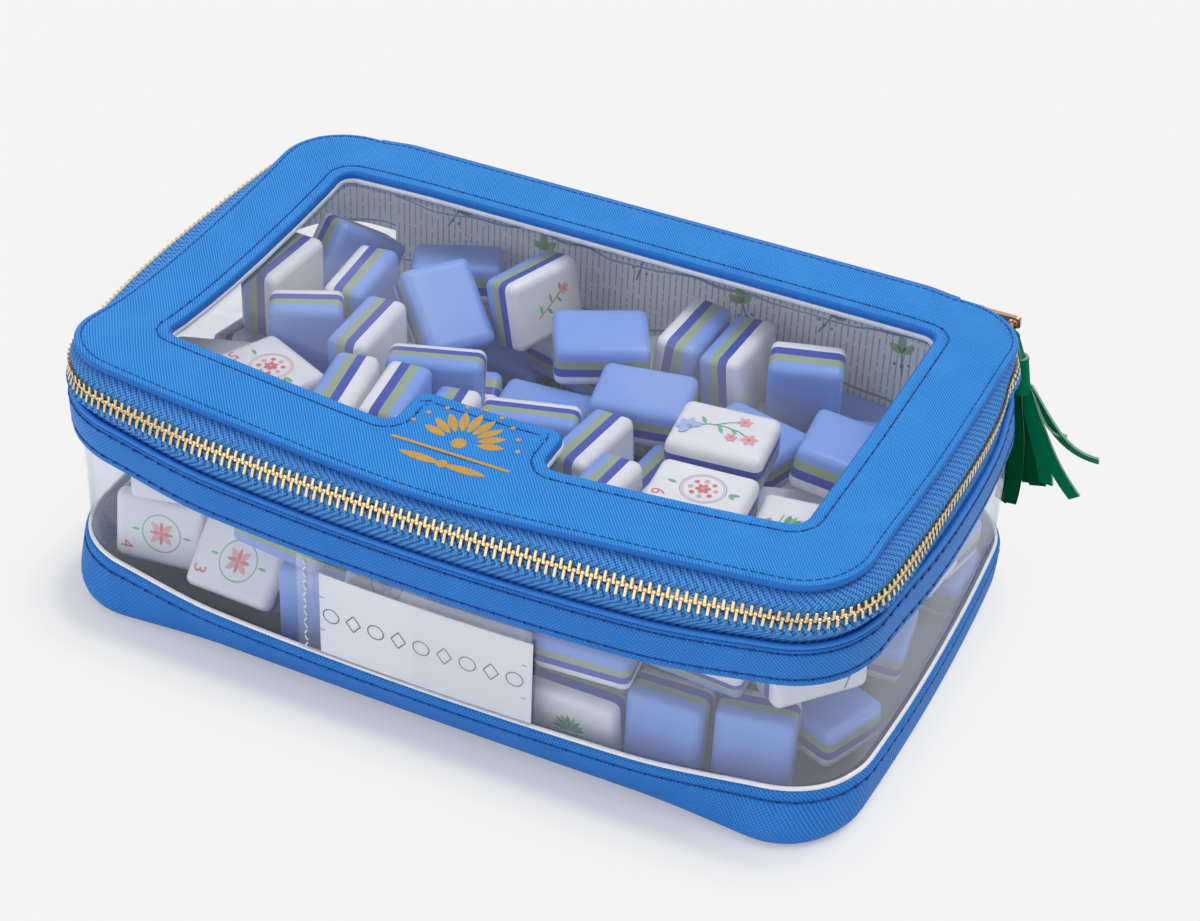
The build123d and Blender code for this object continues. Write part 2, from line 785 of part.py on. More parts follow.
with BuildPart() as tiles_on_top:
    with Locations(places(window_pile)):
        add(shown_tile.part)
finish(tiles_on_top.part, "tiles_on_top")
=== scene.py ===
import random
from math import atan2, copysign, cos, dist, exp, hypot, pi, radians, sin, sqrt

import bmesh
import bpy
import numpy as np
from mathutils import Matrix, Vector


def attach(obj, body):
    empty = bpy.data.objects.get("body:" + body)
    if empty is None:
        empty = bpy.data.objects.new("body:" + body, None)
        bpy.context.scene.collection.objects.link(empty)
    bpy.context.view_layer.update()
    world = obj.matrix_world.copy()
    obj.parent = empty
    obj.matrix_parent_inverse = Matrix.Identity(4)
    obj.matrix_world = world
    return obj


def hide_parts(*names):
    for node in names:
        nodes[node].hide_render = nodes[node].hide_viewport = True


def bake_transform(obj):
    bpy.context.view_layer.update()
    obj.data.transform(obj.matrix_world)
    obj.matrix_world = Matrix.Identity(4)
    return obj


# A zipped game case: grained leathercloth with clear walls and a clear window, full of playing tiles.
# Sizes are in millimetres, as in the CAD. Meshes are made in millimetres and scaled once.

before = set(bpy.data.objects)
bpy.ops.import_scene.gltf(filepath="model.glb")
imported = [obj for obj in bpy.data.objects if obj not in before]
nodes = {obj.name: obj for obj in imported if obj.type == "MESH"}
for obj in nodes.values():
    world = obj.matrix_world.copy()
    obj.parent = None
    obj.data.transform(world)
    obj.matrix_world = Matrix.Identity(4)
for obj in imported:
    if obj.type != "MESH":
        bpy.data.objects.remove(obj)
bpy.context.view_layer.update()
scene = bpy.context.scene
random.seed(11)

MM = 0.001
half_length, half_depth, corner_radius = 140.0, 87.5, 28.0
corner_x, corner_y = half_length - corner_radius, half_depth - corner_radius
wall_bow, base_bow, foot_top = 8.0, 0.5, 15.0
band_top, rim_bottom, rim_top, lid_surface = 19.0, 61.0, 78.0, 99.05
chain_height, chain_out, chain_tilt = 88.0, 0.8, radians(27.0)
spine_left, spine_right = -104.0, 102.0


# Materials

def srgb(text):
    """A colour written as six hex digits, as a linear colour with alpha."""
    channels = [int(text[k:k + 2], 16) / 255 for k in (0, 2, 4)]
    return [c / 12.92 if c <= 0.04045 else ((c + 0.055) / 1.055) ** 2.4 for c in channels] + [1.0]


class Nodes:
    """Short ways to add shader nodes to a tree."""

    def __init__(self, tree):
        self.tree = tree

    def add(self, kind, inputs=None, **settings):
        """A node with its inputs set to values or linked to sockets."""
        made = self.tree.nodes.new("ShaderNode" + kind)
        for key, value in settings.items():
            setattr(made, key, value)
        for key, value in (inputs or {}).items():
            if isinstance(value, bpy.types.NodeSocket):
                self.tree.links.new(value, made.inputs[key])
            else:
                made.inputs[key].default_value = value
        return made

    def math(self, operation, *values):
        return self.add("Math", dict(enumerate(values)), operation=operation).outputs[0]

    def split(self, vector):
        return self.add("SeparateXYZ", {0: vector}).outputs

    def noise(self, vector, scale, detail):
        return self.add("TexNoise", {"Vector": vector, "Scale": scale, "Detail": detail}).outputs[0]

    def ramp(self, factor, stops, interpolation="LINEAR"):
        """Colours, or grey levels given as one number, at stops of a factor."""
        made = self.add("ValToRGB", {0: factor})
        made.color_ramp.interpolation = interpolation
        elements = made.color_ramp.elements
        while len(elements) < len(stops):
            elements.new(0.5)
        for element, (place, colour) in zip(elements, stops):
            element.position = place
            element.color = [colour] * 4 if isinstance(colour, float) else colour
        return made.outputs[0]


class Look(Nodes):
    """A material with a Principled shader."""

    def __init__(self, name, roughness, specular=0.5, metallic=0.0):
        self.material = bpy.data.materials.new(name)
        self.material.use_nodes = True
        super().__init__(self.material.node_tree)
        self.shader = self.tree.nodes["Principled BSDF"]
        values = {"Roughness": roughness, "Specular IOR Level": specular, "Metallic": metallic}
        for key, value in values.items():
            self.shader.inputs[key].default_value = value

    def uv(self):
        """The UV map, which holds millimetres along and across each surface."""
        return self.add("UVMap").outputs[0]

    def place(self):
        return self.add("TexCoord").outputs["Object"]

    def colour(self, factor, stops):
        self.tree.links.new(self.ramp(factor, stops), self.shader.inputs["Base Color"])

    def bump(self, height, strength, distance):
        made = self.add("Bump", {"Strength": strength, "Distance": distance * MM, "Height": height})
        self.tree.links.new(made.outputs[0], self.shader.inputs["Normal"])

    def mix(self, share, first, second):
        """Shows a mix of two shaders instead of one."""
        mixed = self.add("MixShader", {0: share, 1: first.outputs[0], 2: second.outputs[0]})
        self.tree.links.new(mixed.outputs[0], self.tree.nodes["Material Output"].inputs[0])

    def stripes(self, vector, angle, pitch, wobble=0.0):
        """A soft ridge pattern from 0 to 1 across lines at an angle."""
        x, y, _ = self.split(vector)
        along = self.math("MULTIPLY", x, cos(angle) * 2 * pi / pitch)
        phase = self.math("MULTIPLY_ADD", y, sin(angle) * 2 * pi / pitch, along)
        if wobble:
            phase = self.math("MULTIPLY_ADD", self.noise(vector, 0.45, 2.0), wobble, phase)
        return self.math("MULTIPLY_ADD", self.math("SINE", phase), 0.5, 0.5)


def leathercloth(name, light, dark, crossing, pitch):
    """Pressed cross-grain: fine slanted ridges and a crossing set of a given strength, on coated cloth."""
    look = Look(name, 0.5, 0.22)
    uv = look.uv()
    first = look.stripes(uv, radians(38), pitch, 3.4)
    second = look.stripes(uv, radians(-44), pitch, 3.4)
    broad = look.noise(uv, 0.06, 3.0)
    patches = look.ramp(broad, [(0.42, crossing * 0.4), (0.62, min(1.0, crossing * 1.6))])
    crossed = look.math("MULTIPLY_ADD", second, patches, first)
    grain = look.math("DIVIDE", crossed, look.math("ADD", patches, 1.0))
    shade = look.math("MULTIPLY_ADD", grain, 0.75, look.math("MULTIPLY", broad, 0.25))
    look.colour(shade, [(0.15, srgb(dark)), (0.75, srgb(light))])
    look.bump(grain, 0.8, 0.2)
    return look.material


def plain(name, colour, roughness=0.5, metallic=0.0, spots=0.06, scale=0.3, height=0.05, shine=0.5):
    """An even colour with slight variation and a faint surface grain."""
    look = Look(name, roughness, shine, metallic)
    grain = look.noise(look.place(), scale / MM, 4.0)
    low, high = ([min(1.0, c * (1 + change)) for c in srgb(colour)[:3]] + [1.0] for change in (-spots, spots))
    look.colour(grain, [(0.3, low), (0.7, high)])
    look.bump(grain, 0.2, height)
    return look.material


def resin(name, colour):
    return plain(name, colour, 0.3, spots=0.03, scale=0.12, height=0.02, shine=0.45)


def gold(name, colour, roughness):
    return plain(name, colour, roughness, 1.0, spots=0.1, scale=0.8, height=0.02)


def leather(name, colour, roughness, shine):
    return plain(name, colour, roughness, spots=0.12, scale=0.9, height=0.3, shine=shine)


def herringbone(name, light, dark, share, turn):
    """Woven tape: slanted ribs whose slant turns at one line, with the small knots of the knitting."""
    look = Look(name, 0.8, 0.2)
    uv = look.uv()
    along, up, _ = look.split(uv)
    from_turn = look.math("ABSOLUTE", look.math("SUBTRACT", up, turn))
    phase = look.math("MULTIPLY", look.math("MULTIPLY_ADD", from_turn, 0.95, along), 2 * pi / rib_pitch)
    rib = look.math("MULTIPLY_ADD", look.math("SINE", phase), 0.5, 0.5)
    knots = look.math("MULTIPLY", look.stripes(uv, 0.5, knot_pitch), look.stripes(uv, -0.9, knot_pitch))
    woven = look.math("MULTIPLY_ADD", knots, 0.9 - share, look.math("MULTIPLY", rib, share))
    shade = look.math("MULTIPLY_ADD", look.noise(uv, 1.9, 2.0), 0.3, woven)
    look.colour(shade, [(0.12, srgb(dark)), (0.8, srgb(light))])
    look.bump(woven, 0.7, 0.3)
    return look.material


def pinstriped(name):
    """Printed lining: pale cloth with broken upright pinstripes and a few thin level lines."""
    look = Look(name, 0.8)
    uv = look.uv()
    along, up, _ = look.split(uv)
    line = look.math("LESS_THAN", look.math("PINGPONG", along, 1.15), 0.3)
    line = look.math("MULTIPLY", line, look.math("GREATER_THAN", look.noise(uv, 0.35, 3.0), 0.42))
    level = look.math("MULTIPLY_ADD", look.noise(uv, 0.03, 1.0), 14.0, up)
    level = look.math("LESS_THAN", look.math("PINGPONG", level, 13.0), 0.45)
    both = look.math("MAXIMUM", look.math("MULTIPLY", line, 0.62), look.math("MULTIPLY", level, 0.8))
    look.colour(both, [(0.0, srgb("F1F4F8")), (1.0, srgb("6A8FBC"))])
    look.bump(look.noise(uv, 2.0, 2.0), 0.2, 0.05)
    return look.material


def vinyl(name, haze, glance=0.7):
    """Clear sheet: mostly see-through, with reflections that grow at a slant and faint waves."""
    look = Look(name, 0.06, metallic=0.85)
    look.shader.inputs["Base Color"].default_value = (0.92, 0.95, 1.0, 1.0)
    clear = look.add("BsdfTransparent", {"Color": (0.97, 0.98, 1.0, 1.0)})
    slant = look.add("LayerWeight", {"Blend": 0.5}).outputs["Facing"]
    place = look.place()
    folds = look.ramp(look.noise(place, 14.0, 1.0), [(0.42, haze * 0.55), (0.5, haze), (0.515, haze * 1.5)])
    share = look.math("MULTIPLY_ADD", look.math("POWER", slant, 4.0), glance, folds)
    look.mix(share, clear, look.shader)
    look.bump(look.noise(place, 18.0, 2.0), 0.25, 1.2)
    return look.material


rib_pitch, knot_pitch = 2.7, 0.95
blue = leathercloth("leathercloth_lid", "389EF0", "1068C4", 0.3, 0.85)
blue_band = leathercloth("leathercloth_band", "318BE2", "185EB2", 1.0, 1.0)
blue_edge = plain("leathercloth_edge", "1A6CC4", shine=0.3)
blue_roll = plain("leathercloth_roll", "3080D6", shine=0.3)
tape_upper = herringbone("zipper_tape_upper", "62AEF8", "144E9E", 0.28, 3.4)
tape_lower = herringbone("zipper_tape_lower", "5AA6F2", "0A3880", 0.42, 12.6)
thread = plain("thread_navy", "164C9C", 0.75, spots=0.15, scale=2.0)
thread_knot = plain("thread_knot", "062A70", 0.75, spots=0.15, scale=2.0)
thread_clear = plain("thread_clear", "DFE4EA", 0.4, spots=0.05)
gold_teeth = gold("gold_teeth", "EAD4AC", 0.24)
gold_foil = gold("gold_foil", "DDB060", 0.4)
metal = gold("gold_hardware", "D0AA80", 0.28)
green = leather("tassel_leather", "007A50", 0.7, 0.04)
# A darker copy of the tassel leather: painted shade for the strips that hang behind the others
green_painted_shade = leather("tassel_leather_painted_shade", "00502F", 0.75, 0.02)
green_edge = plain("tassel_raw_edge", "8FB49C", 0.85, spots=0.15, shine=0.1)
white_trim = plain("white_binding", "FAFBFC")
paper = plain("card_paper", "F4F3F2", 0.7, spots=0.01)
ink = plain("card_ink", "4A4D52", 0.6)
lining_print = pinstriped("lining_print")
lining_plain = plain("lining_plain", "E4E8EE", 0.8, spots=0.04)
# The bottom lining's dark grey is painted shade, for the tiles' shadow on the case floor
lining_shaded = plain("lining_bottom_painted_shade", "828286", 0.8, spots=0.04)
lining_green = plain("lining_green", "86B888", 0.8)
lining_blue = plain("lining_blue", "7C9CC8", 0.8)
board = plain("board", "9A958A", 0.85)
wall_vinyl = vinyl("clear_vinyl_wall", 0.06, 0.35)
window_vinyl = vinyl("clear_vinyl_window", 0.085)
pocket_vinyl = vinyl("clear_vinyl_pocket", 0.1)
tile_layers = [resin("resin_white", "EDEDF2"), resin("resin_indigo", "2844B2"), resin("resin_sage", "98AC8C"),
               resin("resin_blue", "7EA3EE")]
print_colours = {"red": "E0706E", "pink": "EFA6A6", "lilac": "C3A6CC", "green": "6CC08A", "leaf": "3F9A66",
                 "teal": "3C8E96", "sky": "A6C2EE", "line": "8FA8C8"}
prints = [plain("print_" + name, colour, 0.45) for name, colour in print_colours.items()]


def finish_node(name, look):
    """Gives a CAD node that keeps showing its material."""
    nodes[name].data.materials.clear()
    nodes[name].data.materials.append(look)


# Mesh helpers

def unit(vector):
    return vector / np.linalg.norm(vector)


def lengths(points):
    """Distance along a line of points, at each of them."""
    steps = np.linalg.norm(np.diff(np.asarray(points, float), axis=0), axis=1)
    return np.concatenate([[0.0], np.cumsum(steps)])


def circle(count):
    return [2 * pi * k / count for k in range(count)]


def quads(rows, wide, across=True, around=False):
    """Faces of a grid of points in rows: across closes each row, around joins the last row to the first."""
    return [(r * wide + k, r * wide + (k + 1) % wide,
             (r + 1) % rows * wide + (k + 1) % wide, (r + 1) % rows * wide + k)
            for r in range(rows if around else rows - 1) for k in range(wide if across else wide - 1)]


def ends(rows, wide):
    """The first and last rows of points as faces."""
    return [tuple(range(wide - 1, -1, -1)), tuple(range((rows - 1) * wide, rows * wide))]


def add_object(name, data):
    """A new object in the scene."""
    made = bpy.data.objects.new(name, data)
    scene.collection.objects.link(made)
    return made


def make(name, points, faces, materials, body, slot, looks=None, uvs=None, smooth=True, crease=42.0,
         stands_for=None):
    """A mesh piece from millimetres, riding on a body and standing for a CAD node where one is named."""
    mesh = bpy.data.meshes.new(name)
    mesh.from_pydata((np.asarray(points, float) * MM).tolist(), [], faces)
    for look in materials:
        mesh.materials.append(look)
    if looks is not None:
        mesh.polygons.foreach_set("material_index", looks)
    if uvs is not None:
        mesh.uv_layers.new(name="UVMap").data.foreach_set("uv", np.asarray(uvs, float).ravel())
    mesh.polygons.foreach_set("use_smooth", [smooth] * len(mesh.polygons))
    mesh.validate()
    mesh.update()
    if smooth and crease:
        mesh.set_sharp_from_angle(angle=radians(crease))
    piece = add_object(name, mesh)
    if body:
        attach(piece, body)
    if stands_for:
        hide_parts(stands_for)
    return piece


class Shape:
    """Points, faces and each face's material, gathered form by form."""

    def __init__(self):
        self.points, self.faces, self.looks = [], [], []

    def add(self, points, faces, looks=0):
        base = len(self.points)
        self.points += list(points)
        self.faces += [tuple(base + k for k in face) for face in faces]
        self.looks += [looks] * len(faces) if isinstance(looks, int) else looks

    def make(self, name, materials, body, slot, **more):
        return make(name, self.points, self.faces, materials, body, slot, self.looks, **more)


def from_bmesh(bm):
    """Points, faces and each face's material of a bmesh, which is then freed."""
    bmesh.ops.recalc_face_normals(bm, faces=bm.faces[:])
    bm.verts.index_update()
    points = [tuple(v.co) for v in bm.verts]
    faces = [tuple(v.index for v in face.verts) for face in bm.faces]
    looks = [face.material_index for face in bm.faces]
    bm.free()
    return points, faces, looks


def fill_between(bm, rings):
    """Fills the flat area between closed rings of vertices."""
    edges = []
    for ring in rings:
        for before, vertex in zip(ring, ring[1:] + ring[:1]):
            edges.append(bm.edges.get((before, vertex)) or bm.edges.new((before, vertex)))
    bmesh.ops.triangle_fill(bm, use_beauty=True, use_dissolve=False, edges=edges)


# The case's plan, and how the soft case settles

class Loop:
    """The case's plan as points in order, from the middle of the back to the left and all the way round."""

    def __init__(self, out=0.0, bow=wall_bow, fine=1):
        x, y, r = half_length + out, half_depth + out, corner_radius + out
        arc = (x * x + bow * bow) / (2 * bow)
        centre_y = -y - bow + arc
        low = centre_y - sqrt((arc - r) ** 2 - (x - r) ** 2)
        lean = atan2(x - r, centre_y - low)
        points, normals = [], []

        def line(start, end, normal, count):
            for t in np.arange(count * fine) / (count * fine):
                points.append((start[0] + (end[0] - start[0]) * t, start[1] + (end[1] - start[1]) * t))
                normals.append(normal)

        def bend(centre, radius, first, last, count):
            for t in np.arange(count * fine) / (count * fine):
                a = first + (last - first) * t
                points.append((centre[0] + radius * cos(a), centre[1] + radius * sin(a)))
                normals.append((cos(a), sin(a)))

        q = pi / 2
        line((-1.0, y), (spine_left, y), (0, 1), 40)
        self.left_end = len(points)
        line((spine_left, y), (-x + r, y), (0, 1), 3)
        bend((-x + r, y - r), r, q, 2 * q, 16)
        line((-x, y - r), (-x, low), (-1, 0), 28)
        bend((-x + r, low), r, 2 * q, 3 * q - lean, 16)
        bend((0, centre_y), arc, 3 * q - lean, 3 * q + lean, 90)
        bend((x - r, low), r, -q + lean, 0, 16)
        line((x, low), (x, y - r), (1, 0), 28)
        bend((x - r, y - r), r, 0, q, 16)
        line((x - r, y), (spine_right, y), (0, 1), 3)
        self.right_end = len(points)
        line((spine_right, y), (-1.0, y), (0, 1), 40)
        self.points = np.array(points)
        self.normals = np.array(normals)
        self.along = lengths(points + points[:1])

    def at(self, distance):
        """Point and outward normal at a distance along the loop."""
        distance = distance % self.along[-1]
        k = min(int(np.searchsorted(self.along, distance, side="right")) - 1, len(self.points) - 1)
        t = (distance - self.along[k]) / (self.along[k + 1] - self.along[k])
        other = (k + 1) % len(self.points)
        point = self.points[k] * (1 - t) + self.points[other] * t
        return point, unit(self.normals[k] * (1 - t) + self.normals[other] * t)

    def order(self, part):
        """Point numbers of a part: all, case (not the spine), spine, hinge (longer) or where a test holds."""
        count = len(self.points)
        if part == "all":
            return list(range(count)) + [0]
        if part in ("spine", "hinge"):
            spare = 2 if part == "hinge" else 0
            return list(range(self.right_end - spare, count)) + list(range(self.left_end + 1 + spare))
        return [k for k in range(self.left_end, self.right_end + 1) if part == "case" or part(self.points[k])]


plan = Loop()


def bow_at(z):
    return base_bow + (wall_bow - base_bow) * min(1.0, max(0.0, z / foot_top))


def rise(value, low, high):
    """0 below low, 1 above high and a soft step between them."""
    t = np.clip((value - low) / (high - low), 0, 1)
    return t * t * (3 - 2 * t)


# How far the case has settled: each pair gives heights, or places along the lid's left edge, and distances
front_dip = [19, 61, 78, 84, 88, 99], [0.0, 3.0, 4.4, 2.4, 1.2, 1.6]
front_pull = [0, 6, 17, 61, 80, 90, 96], [-4.0, -2.0, 4.5, 5.0, 4.0, 2.5, 0.6]
back_right_pull = [50, 61, 75, 86, 92, 97], [0.0, 1.0, 3.0, 5.5, 3.5, 0.0]
side_lean = [80, 85, 91, 95], [0.0, -1.3, 0.5, 0.0]
left_edge_inset = ([-75, -66, -58, -48, -35, -20, 0, 25, 45, 60, 75],
                   [0, 1.4, 2.8, 4.2, 5.0, 5.4, 5.2, 4.2, 3, 1.5, 0])
front_left_pull = [52, 61, 75, 80, 84, 88, 91, 94], [-1.0, -2.6, -2.6, 0.0, 2.0, 3.3, 2.0, 0.0]
right_side_pull = [78, 84, 88, 92, 95], [0.0, 3.4, 2.8, 0.9, 0.0]
side_belly, front_right_pull, lid_sag, lid_reach, corner_droop = 2.8, 2.5, 2.6, 1.2, 1.2


def settle(points):
    """The soft case as it stands: its front dips, its sides belly out and its corners are drawn in."""
    points = np.array(points, float)
    x, y, z = points.T.copy()

    def near(middle_x, middle_y, reach_x, reach_y):
        return np.exp(-(((x - middle_x) / reach_x) ** 2 + ((y - middle_y) / reach_y) ** 2))

    across = np.clip(1 - (x / half_length) ** 2, 0, 1)
    forward = np.clip((20 - y) / 110, 0, 1) ** 1.5
    lid_middle = np.exp(-(x / 55) ** 2) * rise(z, 91, 95.5)
    belly = np.clip(1 - (y / 72) ** 2, 0, 1) * rise(abs(x), 90, half_length) * (1 - rise(z, 90, 96))
    lean = np.interp(z, *side_lean) * rise(abs(x), 100, 134) * rise(-y, -60, -30)
    left_edge = np.interp(y, *left_edge_inset) * rise(-x, 70, 118) * rise(z, 90, 95)
    right_side = rise(x, 100, 134) * rise(y, -60, -5) * rise(-y, -72, -50)
    points[:, 0] += (side_belly * belly + lean) * np.sign(x) + 0.5 * left_edge
    points[:, 0] += np.interp(z, *front_left_pull) * near(-138, -66, 24, 28)
    points[:, 0] -= np.interp(z, *back_right_pull) * near(137, 68, 20, 24)
    points[:, 0] -= front_right_pull * near(135, -62, 24, 36) * rise(z, 20, 60)
    points[:, 0] -= np.interp(z, *right_side_pull) * right_side
    points[:, 1] += np.interp(z, *front_pull) * rise(abs(x), 72, 128) * rise(-y, 20, 62)
    points[:, 1] -= lid_reach * lid_middle * rise(-y, 60, 90)
    points[:, 2] -= np.interp(z, *front_dip) * across * forward + 0.6 * left_edge
    points[:, 2] -= lid_sag * lid_middle * forward
    points[:, 2] -= corner_droop * rise(abs(x), 96, 110) * rise(y, 52, 80) * rise(z, 86, 94)
    return points


def swept(name, section, body, slot, materials, part="all", bands=None, stands_for=None):
    """Sweeps a closed section of (out, height) points round a part of the case."""
    order = plan.order(part)
    whole = part == "all"
    ring = order[:-1] if whole else order
    loops = [Loop(out, bow_at(z)) for out, z in section]
    points = [(*loop.points[k], z) for loop, (_, z) in zip(loops, section) for k in ring]
    rows, wide, runs = len(section), len(ring), len(order) - 1
    along, up = lengths(loops[0].points[order]), lengths(section + section[:1])
    faces = quads(rows, wide, whole, True)
    uvs = [(along[k + onward], up[r + above]) for r in range(rows) for k in range(runs)
           for onward, above in ((0, 0), (1, 0), (1, 1), (0, 1))]
    looks = [band for band in bands or [0] * rows for _ in range(runs)]
    if not whole:
        first_end = tuple(range(0, rows * wide, wide))
        faces += [first_end, tuple(k + wide - 1 for k in first_end[::-1])]
        uvs += section + section[::-1]
        looks += [0, 0]
    return make(name, settle(points), faces, materials, body, slot, looks, uvs, stands_for=stands_for)


def loop_path(out, z):
    """A path round the case for stitches, with its outward normals."""
    loop = Loop(out, bow_at(z))
    order = plan.order("all")
    path = settle([(*loop.points[k], z) for k in order])
    return [(point, np.array([*loop.normals[k], 0.0])) for point, k in zip(path, order)]


# A stitch's rings from end to end (share of its length, share of its radius): the first three are its knot
stitch_rings = [(-0.5, 0.4), (-0.47, 1.2), (-0.32, 1.25), (-0.26, 1.0), (0.0, 1.0), (0.4, 1.0), (0.5, 0.4)]
stitch_sides, knot_rings = 6, 3


def stitches(name, path, body, step=5.2, length=5.1, radius=0.3, mat=thread, slot="leathercloth", zigzag=0.0,
             knot=None):
    """Thread stitches laid on a path of (point, surface normal), each with a knot at one end."""
    points, normals = (np.array(values) for values in zip(*path))
    along = lengths(points)
    count = round(along[-1] / step)
    faces = quads(len(stitch_rings), stitch_sides)
    looks = [int(k < knot_rings * stitch_sides) for k in range(len(faces))]
    shape = Shape()

    def sample(values, distance):
        return np.array([np.interp(distance, along, column) for column in values.T])

    for k in range(count):
        middle = (k + 0.5) * along[-1] / count
        centre, normal = sample(points, middle), unit(sample(normals, middle))
        tangent = sample(points, middle + 0.5) - sample(points, middle - 0.5)
        tangent = unit(tangent - normal * tangent.dot(normal))
        across = np.cross(normal, tangent)
        turn = radians(zigzag if k % 2 else -zigzag)
        run = tangent * cos(turn) + across * sin(turn)
        side = across * cos(turn) - tangent * sin(turn)
        shape.add([centre + run * place * length + normal * (0.12 - 0.2 * abs(place))
                   + (side * cos(a) + normal * sin(a)) * radius * size
                   for place, size in stitch_rings for a in circle(stitch_sides)], faces, looks)
    return shape.make(name, [mat, knot or mat], body, slot)


# Bands of leathercloth

def leather_section(low, high, seams, thick=1.95, puff=0.25, edge=1.0):
    """A band's section: a soft outer face pressed in along its seams, rounded edges and a flat inner face."""
    points = []
    span = high - low
    count = int(span / 0.7)
    for z in [low + span * k / count for k in range(count + 1)]:
        t = min(1.0, min(z - low, high - z) / edge)
        round_in = (1 - sqrt(max(0.0, 1 - (1 - t) ** 2))) * edge
        press = sum(0.4 * exp(-((z - seam) / 0.7) ** 2) for seam in seams)
        points.append((puff * sin(pi * (z - low) / span) - round_in - press, z))
    return points, [(-thick, high - 0.05), (-thick, low + 0.05)]


foot_seam = 15.8
foot = [(-5.0, 0.0), (-3.6, 0.25), (-2.4, 1.0), (-1.5, 2.2), (-0.9, 3.6), (-0.5, 5.2), (-0.2, 8.0),
        (-0.05, 11.0), (0.05, 13.0), (0.05, 14.6), (-0.05, 15.3), (-0.35, foot_seam), (-0.05, 16.4),
        (0.1, 17.2), (0.1, 18.0), (-0.2, 18.7), (-0.8, band_top), (-1.95, band_top), (-1.95, 15.0),
        (-2.7, 5.0), (-4.2, 2.0), (-9.0, 2.0), (-9.0, 0.0)]
swept("bottom_band_skin", foot, "base", "leathercloth", [blue_band], stands_for="bottom_band")
stitches("bottom_band_stitches", loop_path(-0.22, foot_seam), "base", knot=thread_knot)

low_seam, high_seam, bead_height = rim_bottom + 3.0, rim_top - 3.9, rim_top - 1.0
rim_face, rim_back = leather_section(rim_bottom, rim_top - 1.9, [low_seam, high_seam])
bead = [(0.85 * cos(a) - 0.55, bead_height + 0.95 * sin(a))
        for a in [radians(d) for d in range(-60, 181, 20)]]
swept("rim_band_skin", rim_face + bead + [(-1.95, rim_top - 1.2), rim_back[1]], "base", "leathercloth",
      [blue_band, blue_roll], bands=[0] * len(rim_face) + [1] * len(bead) + [0, 0], stands_for="rim_band")
stitches("rim_stitches_low", loop_path(-0.12, low_seam), "base", knot=thread_knot)
stitches("rim_stitches_high", loop_path(-0.12, high_seam), "base", knot=thread_knot)

binding = [(-1.4, band_top), (-1.05, 19.2), (-1.0, 19.7), (-1.1, 20.1), (-1.4, 20.3), (-2.0, 20.3),
           (-2.0, band_top)]
swept("wall_binding_skin", binding, "base", "white_binding", [white_trim], "case", stands_for="wall_binding")
wall = [(-2.05, 16.2), (-2.05, 30.0), (-2.0, 45.0), (-2.05, 63.8), (-2.6, 63.8), (-2.55, 45.0), (-2.6, 16.2)]
swept("clear_wall_sheet", wall, "base", "clear_vinyl", [wall_vinyl], "case", stands_for="clear_wall")

# Zipper tapes

tilt_out, tilt_up = sin(chain_tilt), cos(chain_tilt)


def on_chain(along, out=0.0):
    """(out, height) of a point of the chain's section: along is up its slope, out is off its face."""
    return chain_out - along * tilt_out + out * tilt_up, chain_height + along * tilt_up + out * tilt_out


lower_face = [(-1.9, rim_top - 4.0), (-1.9, rim_top + 0.1), (-0.6, rim_top + 1.6), (0.7, rim_top + 3.4),
              on_chain(-4.6, 0.45), on_chain(-3.6, 0.3), on_chain(-2.4, 0.0), on_chain(-1.2, -0.1)]
lower_back = [on_chain(-1.2, -0.5), on_chain(-3.4, -0.5), on_chain(-4.6, -0.4), (0.0, rim_top + 3.6),
              (-1.3, rim_top + 1.9), (-2.6, rim_top + 0.3), (-2.6, rim_top - 4.0)]
upper_face = [on_chain(1.2, -0.1), on_chain(2.4, 0.0), on_chain(3.6, 0.3), on_chain(4.6, 0.35),
              (-1.7, 93.1), (-3.2, 94.3), (-4.4, 94.9), (-5.6, 95.3)]
upper_back = [(-5.9, 94.7), (-4.6, 94.3), (-3.4, 93.7), (-2.3, 92.7),
              on_chain(4.4, -0.4), on_chain(1.2, -0.5)]
# The corner tapes overlap the straight ones by their shared row of points
overlap = 0.01


def before_corner(point):
    return point[1] < corner_y + overlap


def at_corner(side):
    return lambda point: point[1] > corner_y - overlap and (point[0] > 0) == (side > 0)




swept("lower_tape_weave", lower_face + lower_back, "base", "zipper_tape", [tape_lower], "case",
      stands_for="lower_tape")
swept("upper_tape_weave", upper_face + upper_back, "lid", "zipper_tape", [tape_upper], before_corner,
      stands_for="upper_tape")
for side, label in ((-1, "left"), (1, "right")):
    piece = swept(f"corner_tape_{label}", upper_face + upper_back, None, "", [tape_upper], at_corner(side),
                  stands_for="corner_tapes" if side > 0 else None)
    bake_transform(piece)

# Teeth

rail = Loop(chain_out, fine=3)
chain_start, chain_end = rail.along[rail.left_end], rail.along[rail.right_end]
pitch, stop_room, slider_reach = 2.76, 3.5, 1.4
tooth_count = int((chain_end - chain_start - 2 * stop_room) / pitch)


def rounded_block(low, high, bevel):
    """Points and faces of a box with its edges cut by a small bevel."""
    bm = bmesh.new()
    bmesh.ops.create_cube(bm, size=1.0)
    for v in bm.verts:
        v.co = Vector([b if c > 0 else a for c, a, b in zip(v.co, low, high)])
    bmesh.ops.bevel(bm, geom=bm.edges[:], offset=bevel, segments=1, affect="EDGES", profile=0.5)
    return from_bmesh(bm)[:2]


def tooth_form(shift):
    """A tooth clamped on the tape's cord at its root, with a narrower head that meets the other row."""
    form = Shape()
    form.add(*rounded_block((-0.5, 0.3 + shift, -1.1), (0.5, 2.95, 1.2), 0.16))
    form.add(*rounded_block((-0.64, shift - 0.7, -0.9), (0.64, 0.5 + shift, 0.7), 0.22))
    return np.array(form.points), form.faces


whole_tooth, parted_tooth = tooth_form(0.0), tooth_form(1.2)


def in_lid(distance):
    return rail.at(distance)[0][1] < corner_y - slider_reach


def under_slider(distance):
    return not in_lid(distance) and rail.at(distance)[0][0] > 0


